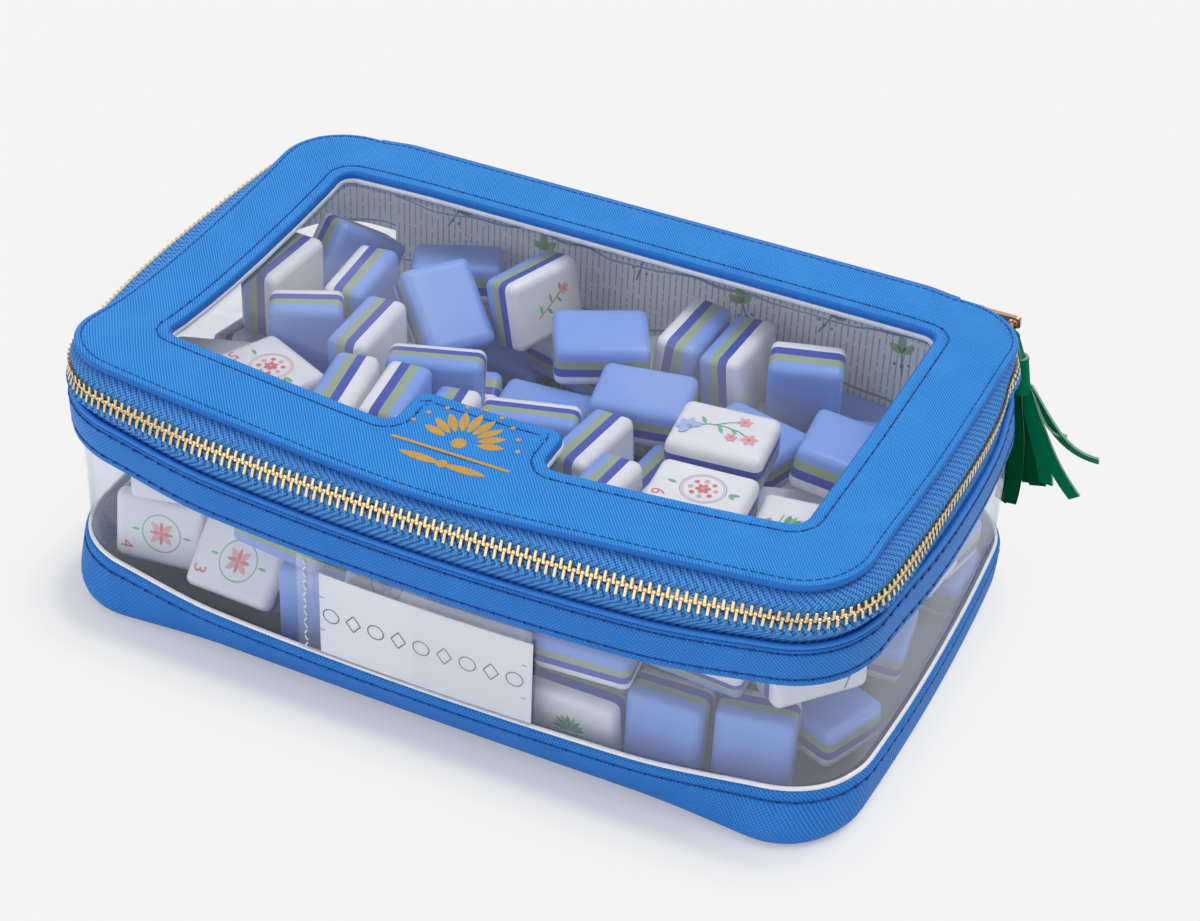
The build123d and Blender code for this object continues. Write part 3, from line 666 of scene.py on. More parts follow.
def teeth(name, distances, row, body, stands_for):
    """Teeth at distances along the rail. Row is 1 above the chain's line and -1 below it."""
    shape = Shape()
    for distance in distances:
        form, faces = parted_tooth if under_slider(distance) else whole_tooth
        point, normal = rail.at(distance)
        outward = np.array([*normal, 0.0])
        front = outward * tilt_up + np.array([0, 0, tilt_out])
        slope = np.array([0, 0, tilt_up]) - outward * tilt_out
        axes = np.array([np.cross(slope, front), slope * row, front])
        shape.add(np.array([*point, chain_height]) + form @ axes, [face[::row] for face in faces])
    shape.points = settle(shape.points)
    shape.make(name, [gold_teeth], body, "gold_metal", smooth=False, stands_for=stands_for)


upper_places, lower_places = ([chain_start + stop_room + (k + offset) * pitch for k in range(tooth_count)]
                              for offset in (0.25, 0.75))
teeth("teeth_upper", [d for d in upper_places if in_lid(d)], 1, "lid", "upper_teeth")
teeth("teeth_lower", lower_places, -1, "base", "lower_teeth")
teeth("teeth_corner", [d for d in upper_places if not in_lid(d)], 1, "base", "corner_teeth")
for label in ("zipper_stops", "slider", "puller", "ring"):
    finish_node(label, metal)

# Lid

window_x, window_front, window_back, window_bow = 110.5, -58.0, 58.2, 8.0
tab_left, tab_right, tab_top, window_corner = -22.3, 28.3, -39.5, 5.0


def filleted(corners, radius, spacing=2.5):
    """A closed polygon with rounded corners, as points no further apart than the spacing."""
    points = []
    for k in range(len(corners)):
        here, before, after = (np.array(corners[j % len(corners)], float) for j in (k, k - 1, k + 1))
        to_before, to_after = unit(before - here), unit(after - here)
        centre = here + (to_before + to_after) * radius
        first, last = here + to_before * radius - centre, here + to_after * radius - centre
        start = atan2(first[1], first[0])
        turn = (atan2(last[1], last[0]) - start + pi) % (2 * pi) - pi
        angles = [start + turn * s / 8 for s in range(9)]
        points += [centre + radius * np.array([cos(a), sin(a)]) for a in angles]
    dense = []
    for a, b in zip(points, points[1:] + points[:1]):
        count = max(1, int(np.linalg.norm(b - a) / spacing))
        dense += [a + (b - a) * s / count for s in range(count)]
    return np.array(dense)


hole = filleted([(-window_x, window_front), (tab_left, window_front), (tab_left, tab_top),
                 (tab_right, tab_top), (tab_right, window_front), (window_x, window_front),
                 (window_x, window_back), (-window_x, window_back)], window_corner)
low = hole[:, 1] < 0
hole[low, 1] -= window_bow * (1 - (hole[low, 0] / window_x) ** 2)
ahead = np.roll(hole, -1, axis=0) - np.roll(hole, 1, axis=0)
hole_out = np.stack([ahead[:, 1], -ahead[:, 0]], axis=1)
hole_out /= np.linalg.norm(hole_out, axis=1)[:, None]

# The lid's rounded outer and inner edges, as (out, height) from the underside: the first rows are bare edge
outer_levels = [(-5.2, 96.0), (-4.1, 96.05), (-3.75, 96.5), (-3.6, 97.2), (-3.65, 97.9), (-3.95, 98.5),
                (-4.6, 98.9), (-5.0, 98.98), (-5.3, 98.93), (-5.8, 98.66), (-6.3, 98.95), (-9.0, lid_surface),
                (-12.5, lid_surface)]
hole_levels = [(1.6, 96.0), (0.35, 96.1), (0.0, 96.7), (0.0, 97.6), (0.25, 98.4), (0.9, 98.9), (1.9, 99.02),
               (4.0, 98.95), (4.6, 98.62), (5.2, 98.95), (6.6, lid_surface)]
edge_rows = 5


def stacked(rings, heights):
    """Rings of (x, y) at heights as points."""
    return [(*p, z) for ring, z in zip(rings, heights) for p in ring]


def lid_skin():
    bm = bmesh.new()
    borders = []
    for levels, ring_at in ((outer_levels, lambda out: Loop(out).points),
                            (hole_levels, lambda out: hole + hole_out * out)):
        rings = [ring_at(out) for out, _ in levels]
        wide = len(rings[0])
        vertices = [bm.verts.new(p) for p in stacked(rings, [z for _, z in levels])]
        for number, face in enumerate(quads(len(rings), wide)):
            bm.faces.new([vertices[k] for k in face[::-1]]).material_index = int(number < edge_rows * wide)
        borders.append((vertices[:wide], vertices[-wide:]))
    for rings in zip(*borders):
        fill_between(bm, rings)
    points, faces, looks = from_bmesh(bm)
    uvs = [points[k][:2] for face in faces for k in face]
    make("lid_skin", settle(points), faces, [blue, blue_edge], "lid", "leathercloth", looks, uvs, crease=None,
         stands_for="lid_frame")


def lid_lining(top, bottom):
    bm = bmesh.new()
    for z in (top, bottom):
        fill_between(bm, [[bm.verts.new((x, y, z)) for x, y in ring]
                          for ring in (Loop(-8.5).points, hole - hole_out * 0.3)])
    points, faces, _ = from_bmesh(bm)
    make("lid_lining_sheet", settle(points), faces, [lining_plain], "lid", "lining", smooth=False,
         stands_for="lid_lining")


def window_sheet(height, wave, columns, rows):
    """The clear window with a faint wave."""

    def ripple(x, y):
        return sin(x / 31 + 1.3) * sin(y / 23 + 0.4) + 0.5 * sin((x + y) / 17)

    points = [(x, y, height + wave * ripple(x, y))
              for y in np.linspace(-68.5, 64.5, rows) for x in np.linspace(-114.5, 114.5, columns)]
    make("window_sheet", settle(points), quads(rows, columns, False), [window_vinyl], "lid", "clear_vinyl",
         stands_for="lid_window")


lid_skin()
up_normal = np.array([0.0, 0.0, 1.0])
outer_stitch = [(point, up_normal) for point, _ in loop_path(-5.8, 98.7)]
stitches("lid_stitches_outer", outer_stitch, "lid", step=2.7, length=2.1, radius=0.25)
window_stitch = [(point, up_normal) for point in settle(stacked([hole + hole_out * 4.6], [98.66]))]
stitches("lid_stitches_window", window_stitch + window_stitch[:1], "lid", knot=thread_knot)
white_rings = [hole + hole_out * out for out in (0.6, -0.4, -0.4, 0.6)]
white_points = settle(stacked(white_rings, [96.3, 96.3, 94.9, 94.9]))
make("window_white_line", white_points, quads(4, len(hole), around=True), [white_trim], "lid", "lining",
     smooth=False)
lid_lining(95.15, 94.6)
window_sheet(95.75, 0.25, 60, 36)

# Spine and linings

spine_face, spine_back = leather_section(rim_top - 3.0, 95.4, [rim_top + 3.0], 1.9, 0.1, 0.8)
swept("spine_strip", spine_face + spine_back, "base", "leathercloth", [blue_band], "spine",
      stands_for="hinge_strip")
fold = [(-0.5, 95.0), (-0.35, 95.8), (-0.7, 96.8), (-1.9, 97.8), (-3.2, 98.4), (-4.2, 98.6)]
fold += [(out - 0.35, z - 0.7) for out, z in fold[::-1]]
hinge_fold = swept("hinge_fold", fold, None, "", [blue_edge], "hinge")
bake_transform(hinge_fold)
back_cloth = [(-1.96, 16.5), (-1.9, 40.0), (-1.96, 94.0), (-3.1, 94.0), (-3.1, 16.5)]
swept("back_panel_cloth", back_cloth, "base", "leathercloth", [blue_band], "spine", stands_for="back_panel")
rim_print = [(-2.8, rim_bottom), (-2.8, 83.8), (-3.4, 83.8), (-3.4, rim_bottom)]
swept("rim_lining_print", rim_print, "base", "lining", [lining_print], "case", stands_for="rim_lining")
back_print = [(-5.6, 5.0), (-4.6, 12.0), (-3.9, 18.0), (-3.9, 60.0), (-3.9, 88.0), (-3.3, 88.0),
              (-3.3, 18.0), (-5.0, 5.0)]
swept("back_lining_print", back_print, "base", "lining", [lining_print], "spine", stands_for="back_lining")
finish_node("base_board", board)
# The bottom lining gets the grey that paints the tiles' shade
finish_node("bottom_lining", lining_shaded)
finish_node("bottom_panel", blue_edge)

# Card pocket

seam_x = -37.6


def between(low_x, high_x):
    return lambda point: low_x <= point[0] <= high_x and point[1] < -corner_y


def front_y(x, inset):
    """The bowed front's place in Y, a little inside its face."""
    return -half_depth + inset - wall_bow * (1 - (x / (half_length - inset)) ** 2)


pocket = [(-0.25, 20.5), (-0.2, 40.0), (-0.25, 60.6), (-0.55, 60.6), (-0.5, 40.0), (-0.55, 20.9),
          (-1.9, 20.9), (-1.9, 20.5)]
card = [(-1.12, 21.2), (-1.12, 38.0), (-1.12, 54.8), (-1.45, 54.8), (-1.45, 21.2)]
swept("card_pocket_sheet", pocket, "base", "clear_vinyl", [pocket_vinyl], between(-41.0, 42.5),
      stands_for="card_pocket")
swept("label_card_sheet", card, "card", "card", [paper], between(-35.5, 41.5), stands_for="label_card")
seam = settle([(seam_x, front_y(seam_x, 0.0) - 0.05, z) for z in np.linspace(22.0, 60.0, 20)])
seam_normal = np.array([-0.03, -1.0, 0.0])
stitches("pocket_seam", [(point, seam_normal) for point in seam], "base", step=2.6, length=1.9, radius=0.28,
         mat=thread_clear, slot="clear_vinyl", zigzag=32.0)

# Tiles

tile_length, tile_width, tile_thickness, tile_rounding = 32.0, 25.0, 15.0, 2.7


def boxes(name):
    """The tiles of a node: each one's middle and its unit axes along length, width and thickness."""
    mesh = nodes[name].data
    places = np.array([v.co[:] for v in mesh.vertices]) / MM
    parent = list(range(len(places)))

    def find(a):
        while parent[a] != a:
            parent[a] = parent[parent[a]]
            a = parent[a]
        return a

    first = {}
    for k, place in enumerate(np.round(places, 2)):
        parent[find(k)] = find(first.setdefault(tuple(place), k))
    for face in mesh.polygons:
        for k in face.vertices[1:]:
            parent[find(k)] = find(face.vertices[0])
    corners, sides = {}, {}
    for k in range(len(places)):
        corners.setdefault(find(k), []).append(k)
    for face in mesh.polygons:
        island = sides.setdefault(find(face.vertices[0]), {})
        normal = np.array(face.normal)
        key = tuple(np.round(normal if normal[np.argmax(abs(normal))] > 0 else -normal, 2))
        area, total = island.get(key, (0.0, np.zeros(3)))
        island[key] = (area + face.area, total + copysign(face.area, normal.dot(key)) * normal)
    found = []
    for island, ids in corners.items():
        largest = sorted(sides[island].values(), key=lambda side: -side[0])[:3]
        thick, wide, long = [unit(total) for _, total in largest]
        if np.cross(long, wide).dot(thick) < 0:
            long = -long
        middle = np.unique(np.round(places[ids], 2), axis=0).mean(axis=0)
        found.append((middle, np.array([long, wide, thick])))
    return found


def tile_form():
    """A rounded tile about its middle: points, faces and each face's layer (white, indigo, sage, blue)."""
    r, top, flat = tile_rounding, tile_thickness / 2, tile_rounding + 0.9
    turns = [radians(a) for a in (30, 60, 90)]
    rings = [(-top, flat, 3), (-top, r, 3)]
    rings += [(-top + r * (1 - cos(t)), r * (1 - sin(t)), 3) for t in turns]
    rings += [(-3.1, 0.0, 3), (0.1, 0.0, 2), (3.2, 0.0, 1)]
    rings += [(top - r * (1 - cos(t)), r * (1 - sin(t)), 0) for t in turns[::-1] + [0.0]]
    rings.append((top, flat, 0))
    points = []
    for height, inset, _ in rings:
        bend = max(0.4, r - inset * 0.75)
        x, y = tile_length / 2 - inset - bend, tile_width / 2 - inset - bend
        for side_x, side_y, start in ((1, 1, 0), (-1, 1, 90), (-1, -1, 180), (1, -1, 270)):
            for a in [radians(start + 22.5 * s) for s in range(5)]:
                points.append((side_x * x + bend * cos(a), side_y * y + bend * sin(a), height))
    side = len(points) // len(rings)
    layers = [layer for _, _, layer in rings[1:] for _ in range(side)] + [3, 0]
    return np.array(points), quads(len(rings), side) + ends(len(rings), side), layers


# Tiles seen in the photo: which way the white face looks, its print, and places near such tiles
up, down, right, left, front, rear = (0, 0, 1), (0, 0, -1), (1, 0, 0), (-1, 0, 0), (0, -1, 0), (0, 1, 0)
seen_groups = [
    (up, "", (93, -9, 57)), (up, "two", (86, -65, 51)), (up, "five", (-85, -35, 71)),
    (up, "six", (69, -38, 77)), (up, "spray", (65, -9, 80)), (up, "crown", (99, -36, 71)),
    (up, "ring", (-6, 21, 45)),
    (down, "", (4, 29, 76), (-54, 28, 72), (29, 9, 73), (97, 9, 76), (-65, 58, 68), (-4, 1, 60), (64, 18, 62),
     (-65, -34, 55), (96, 39, 56), (116, -49, 20), (52, -75, 47)),
    (right, "", (-109, 14, 75), (45, 51, 67), (-66, -4, 72), (-53, -43, 76), (41, -51, 74), (28, -29, 72),
     (46, -19, 58)), (right, "sprig", (-21, -34, 68)),
    (left, "", (-84, 23, 72), (27, 51, 69), (-36, -40, 76)),
    (rear, "", (-89, -5, 70), (3, -22, 68), (70, 51, 67), (-37, -11, 71), (-43, -75, 24), (-8, -77, 19),
     (21, -77, 21), (79, -75, 21), (106, -72, 21), (19, -79, 51)),
    (front, "bow", (-99, -69, 55)), (front, "four", (-107, -69, 26)), (front, "leaves", (50, -79, 20)),
    (front, "ring", (-13, -78, 47)), ((0, -1, 0.5), "three", (-73, -73, 26)),
    ((0.6, -0.7, 0), "seven", (119, -65, 55)), ((-0.6, -0.6, 0), "", (-104, 52, 66)),
    ((1, -0.3, 0.2), "sprig", (-30, 48, 74))]
seen_tiles = [(place, way, kind) for way, kind, *places in seen_groups for place in places]
seen_within = 9.0


def white_side(middle, axes):
    """The unit direction of the white face and the print's name for a tile."""
    gaps = [dist(middle, place) for place, _, _ in seen_tiles]
    k = int(np.argmin(gaps))
    thickness = axes[2]
    if gaps[k] < seen_within:
        return thickness if thickness.dot(seen_tiles[k][1]) > 0 else -thickness, seen_tiles[k][2]
    return thickness * random.choice((-1, 1)), random.choice(("ring", "sprig", "leaves", "bow", ""))


# Drawing helpers for prints: each gives polygons, or one polygon, in a plane

def digit(text, size):
    """A plain number as polygons about its middle."""
    curve = bpy.data.curves.new("digit", "FONT")
    curve.body = text
    curve.size = size
    curve.align_x = "CENTER"
    curve.align_y = "CENTER"
    curve.resolution_u = 3
    holder = bpy.data.objects.new("digit", curve)
    mesh = bpy.data.meshes.new_from_object(holder)
    polygons = [[tuple(mesh.vertices[k].co[:2]) for k in face.vertices] for face in mesh.polygons]
    bpy.data.objects.remove(holder)
    return polygons


def turned(x, y, angle):
    """(x, y) turned about the origin."""
    return x * cos(angle) - y * sin(angle), x * sin(angle) + y * cos(angle)


def petal(x, y, turn, length, width):
    """A pointed leaf from (x, y)."""
    outline = [(k / 8, 1) for k in range(9)] + [(k / 8, -1) for k in range(7, 0, -1)]
    points = [turned(t * length, side * width / 2 * sin(pi * t) ** 0.8, radians(turn))
              for t, side in outline]
    return [(x + px, y + py) for px, py in points]


def disc(x, y, r, sides=20):
    return [(x + r * cos(a), y + r * sin(a)) for a in circle(sides)]


def stroke(points, width):
    """A thin line through points as small quads."""
    polygons = []
    for (x0, y0), (x1, y1) in zip(points, points[1:]):
        length = hypot(x1 - x0, y1 - y0)
        nx, ny = -(y1 - y0) / length * width / 2, (x1 - x0) / length * width / 2
        polygons.append([(x0 + nx, y0 + ny), (x0 - nx, y0 - ny), (x1 - nx, y1 - ny), (x1 + nx, y1 + ny)])
    return polygons


def hoop(x, y, r, width, sides=28):
    outline = disc(x, y, r, sides)
    return stroke(outline + outline[:1], width)


def polar(x, y, r, angle):
    """The point at a distance and an angle in degrees from (x, y)."""
    return x + r * cos(radians(angle)), y + r * sin(radians(angle))


# Prints of the tiles' white faces: (colour, polygons) in the face's plane, its long side along X

def blossom(x, y, size, colour, heart):
    petals = [(colour, [petal(x, y, 60 * k + 15, size, size * 0.55)]) for k in range(6)]
    return petals + [(heart, [disc(x, y, size * 0.22, 12)])]


def corner_number(text, colour="red", upright=False):
    """A number in the face's corner, turned a quarter unless it is upright."""
    if upright:
        return [(colour, [[(x + 8, y - 8.5) for x, y in polygon] for polygon in digit(text, 6.5)])]
    return [(colour, [[(y - 11.5, -x - 6.5) for x, y in polygon] for polygon in digit(text, 6.5)])]


def medallion(ring_colour):
    art = [(ring_colour, hoop(1, 0, 7.2, 0.4) + hoop(1, 0, 6.5, 0.25))]
    art += [("red" if k % 2 else "pink", [disc(*polar(1, 0, 4, 45 * k), 0.85, 10)]) for k in range(8)]
    leaves = [petal(9.2, 0, 10, 3.6, 1.2), petal(9.2, 0, -40, 2.8, 1.0), petal(-7.5, 0, 170, 3.2, 1.1)]
    return art + blossom(1, 0, 2.6, "red", "pink") + [("green", leaves)]


def star_flower():
    return [("green", hoop(1, 0, 6.8, 0.45)),
            ("pink", [petal(1, 0, 90 * k + 45, 5.2, 2.2) for k in range(4)]),
            ("red", [petal(1, 0, 90 * k, 4.4, 1.3) for k in range(4)]),
            ("green", [petal(8.6, 0, 0, 3.0, 1.0), petal(-6.6, 0, 180, 3.0, 1.0)])]


def flower_spray():
    leaves = [petal(-6, 0.6, 120, 4.2, 1.5), petal(-2, 1.4, -60, 4.4, 1.5), petal(2, 1.3, -45, 3.6, 1.3)]
    art = [("leaf", stroke([(-9, -1), (-5, 1), (0, 1.4), (5, 0.4), (9, -2.2)], 0.55)),
           ("leaf", stroke([(-3, 1.3), (1, 4.0), (5, 5.4)], 0.45)), ("green", leaves)]
    for x, y, size in ((9, -2.6, 3.0), (5.4, 5.6, 2.6), (3.4, -3.4, 2.2)):
        art += blossom(x, y, size, "pink", "red")
    art += [("sky", [petal(-10.5, -2.5, 40 + 50 * k, 4.6, 2.6)]) for k in range(5)]
    return art + [("line", [disc(-10.5, -2.5, 1.0, 12)])]


def leaf_crown(x, y, size, foot_leaves=False):
    art = []
    for k in range(9):
        length = (7.0 - abs(k - 4) * 0.35) * size
        art.append(("green" if k % 2 else "leaf", [petal(x, y - 3, 10 + 20 * k, length, 1.7)]))
    art.append(("green", stroke([(x - 5, y - 4.2), (x, y - 5.0), (x + 5, y - 4.2)], 0.5)))
    if foot_leaves:
        art.append(("red", [petal(x, y - 9.5, turn, length, width)
                            for turn, length, width in ((90, 4.0, 1.6), (45, 3.2, 1.2), (135, 3.2, 1.2))]))
    return art


def sprig():
    leaves = [petal(-4 + 2.4 * k, -2 + 1.3 * k, 100 - 150 * (k % 2), 3.6, 1.3) for k in range(5)]
    twig = stroke([(-6, -3), (0, 0), (6, 3.4)], 0.5)
    return [("red", twig), ("green", leaves)] + blossom(7, 3.6, 2.4, "pink", "red")


def bow():
    return [("lilac", [petal(0, 0, -30 - 42 * k, 7.6, 2.2)]) for k in range(5)] + [
        ("teal", [disc(0, 0, 1.2, 12), petal(0, 0, 70, 4.4, 1.5), petal(0, 0, 115, 4.0, 1.3)])]


def ring_flower():
    return [("line", hoop(0, 0, 5.6, 0.5))] + blossom(0, 0, 3.4, "sky", "line")


motifs = {"": [], "two": corner_number("2", "teal"), "three": corner_number("3") + star_flower(),
          "four": corner_number("4") + star_flower(), "five": corner_number("5") + medallion("pink"),
          "six": corner_number("6") + medallion("lilac"),
          "seven": corner_number("7", "teal", True) + leaf_crown(-1.5, 2.0, 0.95),
          "spray": flower_spray(), "crown": leaf_crown(0, 0.5, 1.0, True), "leaves": leaf_crown(0, 0.5, 1.0),
          "sprig": sprig(), "bow": bow(), "ring": ring_flower()}
form_points, form_faces, form_layers = tile_form()
print_gap, print_step = 0.02, 0.012


def dress_tiles(name, node_name):
    """Rounded tiles in layers of colour where a node's plain tiles are, with prints on their white faces."""
    tiles, art = Shape(), Shape()
    for middle, axes in boxes(node_name):
        white, kind = white_side(middle, axes)
        middle = np.array([*settle([middle])[0][:2], middle[2]])
        length = axes[0]
        upright = abs(length[2]) > 0.6
        if length[2 if upright else 0] < 0:
            length = -length
        basis = np.array([length, np.cross(white, length), white])
        tiles.add(middle + form_points @ basis, form_faces, form_layers)
        for number, (colour, polygons) in enumerate(motifs[kind], 1):
            lift = tile_thickness / 2 + print_step * number + print_gap
            for polygon in polygons:
                art.add([middle + np.array([x, y, lift]) @ basis for x, y in polygon],
                        [tuple(range(len(polygon)))], list(print_colours).index(colour))
    tiles.make(name, tile_layers, "base", "tile_resin", stands_for=node_name)
    art.make(name + "_prints", prints, "base", "tile_resin", smooth=False)


dress_tiles("tiles_window", "tiles_on_top")
dress_tiles("tiles_stack", "tiles_below")


# Generic prints on the tab, the lining and the card

def flat_art(name, polygons, place, mat, body, slot, thick=0.12):
    """Raised flat shapes: place turns a point of the drawing into a point in millimetres and its normal."""
    shape = Shape()
    for polygon in polygons:
        count = len(polygon)
        placed = [place(x, y) for x, y in polygon]
        points = [np.array(point) + np.array(normal) * level
                  for level in (0.0, thick) for point, normal in placed]
        shape.add(points, [tuple(range(count, 2 * count))] + quads(2, count))
    shape.make(name, [mat], body, slot, smooth=False)


def on_lid(x, y):
    return settle([(x, y, lid_surface - 0.03)])[0], (0, 0, 1)


def on_card(x, z):
    return settle([(x, front_y(x, 1.1), z)])[0], (0, -1, 0)


def on_back(x, z):
    return settle([(x, half_depth - 4.0, z)])[0], (0, -1, 0)


def tab_fan(x, y):
    """A fan of leaves over a line, with a flat double leaf below."""
    fan = []
    for k in range(9):
        from_middle, a = abs(k - 4), 90 + (k - 4) * 19
        fan.append(petal(*polar(x, y, 5.5, a), a, 10.5 - from_middle * 0.5, 3.0))
        fan.append(disc(polar(x, y, 18.4, a)[0], polar(x, y, 18.4 - from_middle * 0.4, a)[1], 0.8, 12))
    low = y - 10.4
    return fan + [disc(x, y, 2.4)] + stroke([(x - 20, y - 5.5), (x + 20, y - 5.5)], 1.1) + [
        petal(x, low, 0, 15, 3.0), petal(x, low, 180, 15, 3.0), disc(x, low, 1.7, 16)]


flat_art("tab_ornament", tab_fan(1.0, -66.5), on_lid, gold_foil, "lid", "gold_metal")
leaf_sprigs, twig_sprigs = [], []
for x, z, turn in ((-78, 77, 60), (-43, 71, 100), (-5, 78, 75), (33, 72, 110), (66, 77, 60), (92, 70, 95)):
    leaf_sprigs += [petal(x, z, turn + spread, 7.0 - abs(spread) / 40, 3.0) for spread in (-52, 0, 52)]
    twig_sprigs += [disc(*polar(x, z, 5.2, turn + a), 0.7, 10) for a in (150, 180, 210)]
    twig_sprigs += stroke([(x, z), polar(x, z, -9, turn)], 0.7)
flat_art("lining_leaves", leaf_sprigs, on_back, lining_green, "base", "lining", 0.05)
flat_art("lining_twigs", twig_sprigs, on_back, lining_blue, "base", "lining", 0.05)
card_left, card_right, card_middle = -33, 39, 38
half_wide, half_high = 2.6, 3.4
hairlines = []
for k in range(9):
    x, z = card_left + 4 + 8 * k, card_middle
    if k % 2:
        hairlines += stroke([(x - half_wide, z), (x, z + half_high), (x + half_wide, z), (x, z - half_high),
                             (x - half_wide, z)], 0.45)
    else:
        hairlines += hoop(x, z, 2.8, 0.45, 24)
for z in (card_middle - 7, card_middle + 7):
    hairlines += stroke([(card_left, z), (card_right, z)], 0.35)
flat_art("card_ornament", hairlines, on_card, ink, "card", "card", 0.03)

# Tassel

swing = np.array([126.35, 91.68, 82.63])
cap_place, cap_height, cap_shift = swing + np.array([3.6, 1.4, -7.0]), 13.4, 2.0
lean = atan2(cap_place[0] - swing[0], swing[2] - cap_place[2])


def leaned(x, y, z):
    """A point from the swing axis turned about it, as the hanging loop leans away from the case."""
    x, z = turned(x, z, lean)
    return swing + np.array([x, y, z])


def tube(name, rings, mat, stands_for=None, sides=24):
    """A closed body through rings of (centre, radius x, radius y)."""
    points = [(centre[0] + rx * cos(a), centre[1] + ry * sin(a), centre[2])
              for centre, rx, ry in rings for a in circle(sides)]
    faces = [face[::-1] for face in quads(len(rings), sides) + ends(len(rings), sides)]
    make(name, points, faces, [mat], "tassel", "tassel_leather", stands_for=stands_for)


def on_cap(t, z=0.0):
    """A point of the cap's axis, which runs from its top at 0 to its foot at 1."""
    return cap_place + np.array([cap_shift * t, 0.0, z - cap_height * t])


def cap_radius(t):
    return 3.1 + 0.6 * t + 0.2 * sin(pi * min(1.0, t * 12))


def ribbon(line, twist_first, twist_last, width, thick):
    """A flat strap along a line of points. Its twist turns its width from the XZ plane towards Y."""
    line = [np.array(p, float) for p in line]
    points = []
    last = len(line) - 1
    for k, p in enumerate(line):
        t = k / last
        ahead = unit(line[min(k + 1, last)] - line[max(k - 1, 0)])
        flat = unit(np.cross(ahead, [0, 1, 0]))
        across = np.cross(flat, ahead)
        angle = radians(twist_first + (twist_last - twist_first) * t)
        wide = (flat * cos(angle) + across * sin(angle)) * width(t) / 2
        thin = (across * cos(angle) - flat * sin(angle)) * thick / 2
        points += [p - wide - thin, p + wide - thin, p + wide + thin, p - wide + thin]
    return points, quads(last + 1, 4) + ends(last + 1, 4), [0, 1, 0, 1] * last + [1, 1]


cap_rings = [(on_cap(t), cap_radius(t), cap_radius(t) * 0.92) for t in np.linspace(0, 1, 27)]
tube("tassel_cap_rolled", cap_rings, green, "tassel_cap")
cap_edge = ((-0.35, 0.1), (0.15, 0.1), (0.2, -0.2), (0.2, -0.9), (-0.3, -1.0))
tube("tassel_cap_edge", [(on_cap(0.0, z), 3.0 + more, 2.8 + more) for z, more in cap_edge], green_edge)
loop_bend = [(-2.1 * cos(a), -0.4 + 2.1 * sin(a)) for a in np.radians(range(-30, 211, 20))]
loop_line = [(-0.9, -9.0), (-1.4, -6.5)] + loop_bend + [(1.4, -6.5), (0.9, -9.0)]
loop_strap = Shape()
loop_strap.add(*ribbon([leaned(x, 0.6, z) for x, z in loop_line], 90, 90, lambda t: 2.6, 0.9))
loop_strap.make("tassel_loop", [green, green_edge], "tassel", "tassel_leather", smooth=False)

# Each strip: its middle line from the swing axis (X, Z), place in Y, width, first and last twist, look; the
# darker leather look is painted shade on the strips that hang behind
strip_looks = [green_painted_shade, green_edge, green]
strip_forms = [
    ([(2.9, -19.0), (4.6, -40.0), (5.2, -57.0), (4.8, -67.5)], 0.6, 5.2, -15, -24, green_painted_shade),
    ([(4.6, -19.0), (7.4, -40.0), (8.8, -57.0), (8.3, -66.4)], -0.6, 5.0, 5, 15, green_painted_shade),
    ([(6.0, -19.0), (9.6, -39.0), (12.0, -50.0), (13.6, -58.8)], 2.4, 6.0, 0, 2, green_painted_shade),
    ([(6.4, -19.0), (11.2, -39.0), (14.2, -49.6), (16.4, -58.6)], 2.0, 6.0, 0, 2, green_painted_shade),
    ([(7.4, -19.0), (12.3, -34.0), (16.8, -46.0), (19.4, -56.0)], 1.2, 5.6, -5, -17, green),
    ([(8.0, -19.0), (14.1, -33.7), (20.9, -45.7), (30.3, -57.2)], 0.2, 5.4, -8, -16, green),
    ([(8.2, -18.0), (14.3, -26.6), (20.6, -35.0), (28.0, -39.4), (35.8, -41.0)], 1.4, 5.2, -25, -38, green),
    ([(8.0, -18.0), (13.6, -28.0), (18.0, -33.8), (23.4, -35.4)], 1.8, 4.4, -80, -64, green_edge)]
strip_thickness = 0.8
strips = Shape()
for middles, place_y, width, twist_first, twist_last, look in strip_forms:
    shares = lengths(middles)
    curve_x, curve_z = (np.polyfit(shares / shares[-1], values, 3) for values in zip(*middles))
    line = [(swing[0] + np.polyval(curve_x, t), cap_place[1] + place_y * (0.6 + 0.9 * t),
             swing[2] + np.polyval(curve_z, t)) for t in np.linspace(0, 1, 25)]
    points, faces, sides = ribbon(line, twist_first, twist_last,
                                  lambda t: width * (0.6 + 0.4 * min(1.0, t * 2.5)), strip_thickness)
    strips.add(points, faces, [strip_looks.index(green_edge if side else look) for side in sides])
strips.make("tassel_strips_cut", strip_looks, "tassel", "tassel_leather", smooth=False,
            stands_for="tassel_strips")


# Stage, light and camera

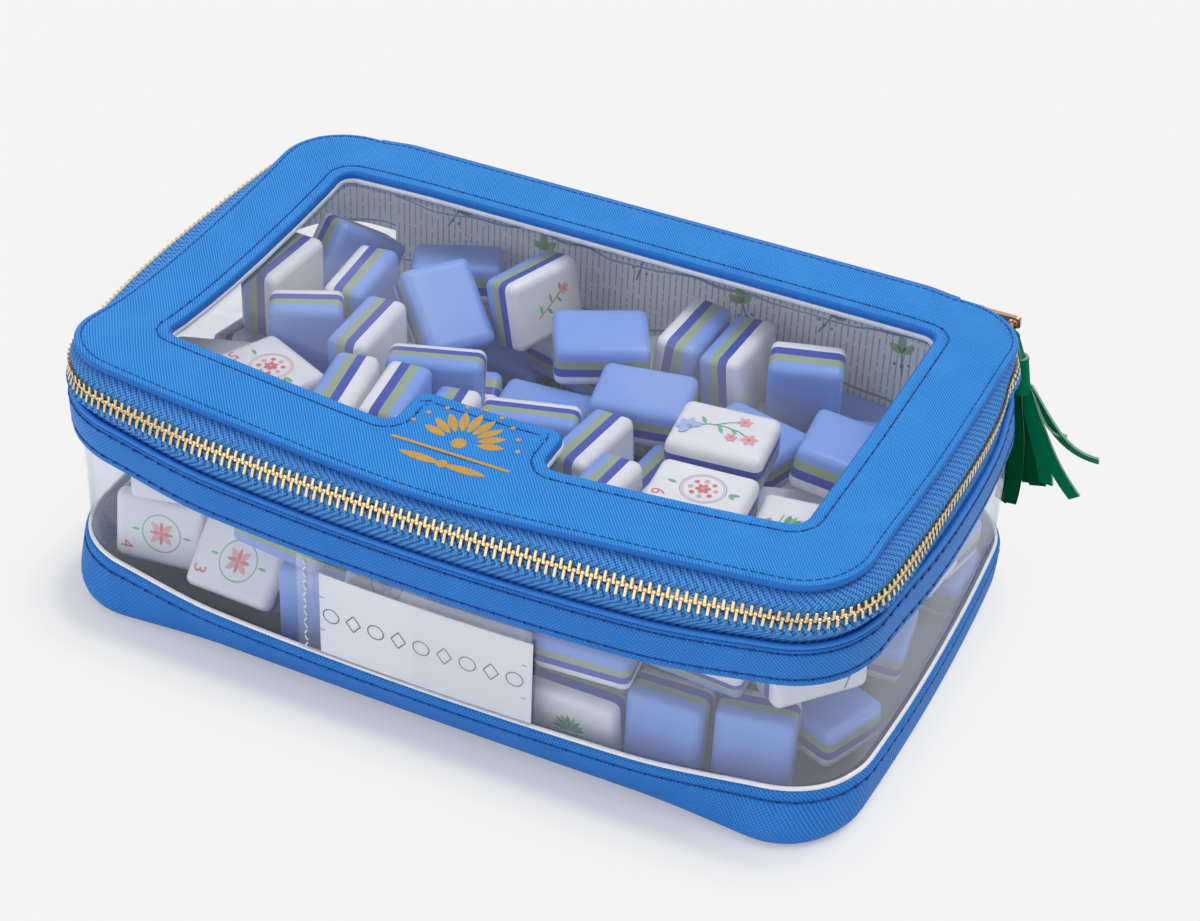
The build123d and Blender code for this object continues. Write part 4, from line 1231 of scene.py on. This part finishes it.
def floor_look():
    """Shows the rendered shadow only near the case's front and left: further off, a glow seen by the camera
    paints light over the floor and its shadow.
    """
    look = Look("floor", 0.9, 0.1)
    look.shader.inputs["Base Color"].default_value = srgb("F4F4F4")
    look.bump(look.add("TexNoise", {"Scale": 40.0}).outputs[0], 0.02, 0.1)
    painted_glow = look.add("Emission", {"Color": srgb("F4F4F4"), "Strength": 1.0})
    beyond = []
    for coordinate, middle, reach in zip(look.split(look.place()), (-3.0, -12.0), (corner_x, corner_y)):
        from_middle = look.math("ABSOLUTE", look.math("SUBTRACT", coordinate, middle * MM))
        over = look.math("MAXIMUM", look.math("SUBTRACT", from_middle, reach * MM), 0.0)
        beyond.append(look.math("POWER", over, 2.0))
    distance = look.math("MULTIPLY", look.math("SQRT", look.math("ADD", *beyond)), 10.0)
    # Painted light: the glow's share grows with distance from a box round the case, shifted to the front and
    # left
    pale = look.ramp(distance, [(0.25, 0.3), (0.34, 0.72), (0.44, 0.93), (0.65, 0.98)], "EASE")
    seen = look.math("MULTIPLY", look.add("LightPath").outputs["Is Camera Ray"], pale)
    look.mix(seen, look.shader, painted_glow)
    return look.material


def add_floor(half_side):
    mesh = bpy.data.meshes.new("floor")
    corners = [(-1, -1), (1, -1), (1, 1), (-1, 1)]
    mesh.from_pydata([(half_side * x, half_side * y, 0) for x, y in corners], [], [(0, 1, 2, 3)])
    mesh.materials.append(floor_look())
    floor = add_object("floor", mesh)


def add_studio(left_level, right_level):
    """A soft room that is brighter on the case's left."""
    world = bpy.data.worlds.new("studio")
    scene.world = world
    world.use_nodes = True
    room = Nodes(world.node_tree)
    across = room.split(room.add("TexCoord").outputs["Generated"])[0]
    background = world.node_tree.nodes["Background"]
    level = room.ramp(across, [(0.1, left_level), (0.9, right_level)])
    world.node_tree.links.new(level, background.inputs[0])
    background.inputs[1].default_value = 1.0


def add_sun(name, energy, angle, direction):
    data = bpy.data.lights.new(name, "SUN")
    data.energy = energy
    data.angle = radians(angle)
    lamp = add_object(name, data)
    lamp.rotation_euler = Vector(direction).to_track_quat("-Z", "Y").to_euler()


def add_camera(azimuth, elevation, roll, distance, target, focal_pixels, sensor=36.0, photo_width=1200):
    """A camera that looks at the target, at the photo's fitted angles in degrees."""
    data = bpy.data.cameras.new("camera")
    data.sensor_width = sensor
    data.lens = focal_pixels / photo_width * sensor
    data.clip_start = 0.01
    pose = Matrix.Translation(Vector(target) * MM)
    for angle, axis in ((azimuth, "Z"), (90 - elevation, "X"), (roll, "Z")):
        pose = pose @ Matrix.Rotation(radians(angle), 4, axis)
    camera = add_object("camera", data)
    camera.matrix_world = pose @ Matrix.Translation((0, 0, distance * MM))
    scene.camera = camera


add_floor(30)
add_studio(0.74, 0.24)
add_sun("key", 1.1, 35, (-0.3, -0.22, -0.93))
add_sun("fill", 0.55, 60, (0.15, 0.95, -0.28))
add_camera(23.7, 35.97, 2.76, 860.5, (18.65, 0, 53.2), 2616.0)
scene.view_settings.view_transform = "Standard"

bpy.context.view_layer.update()
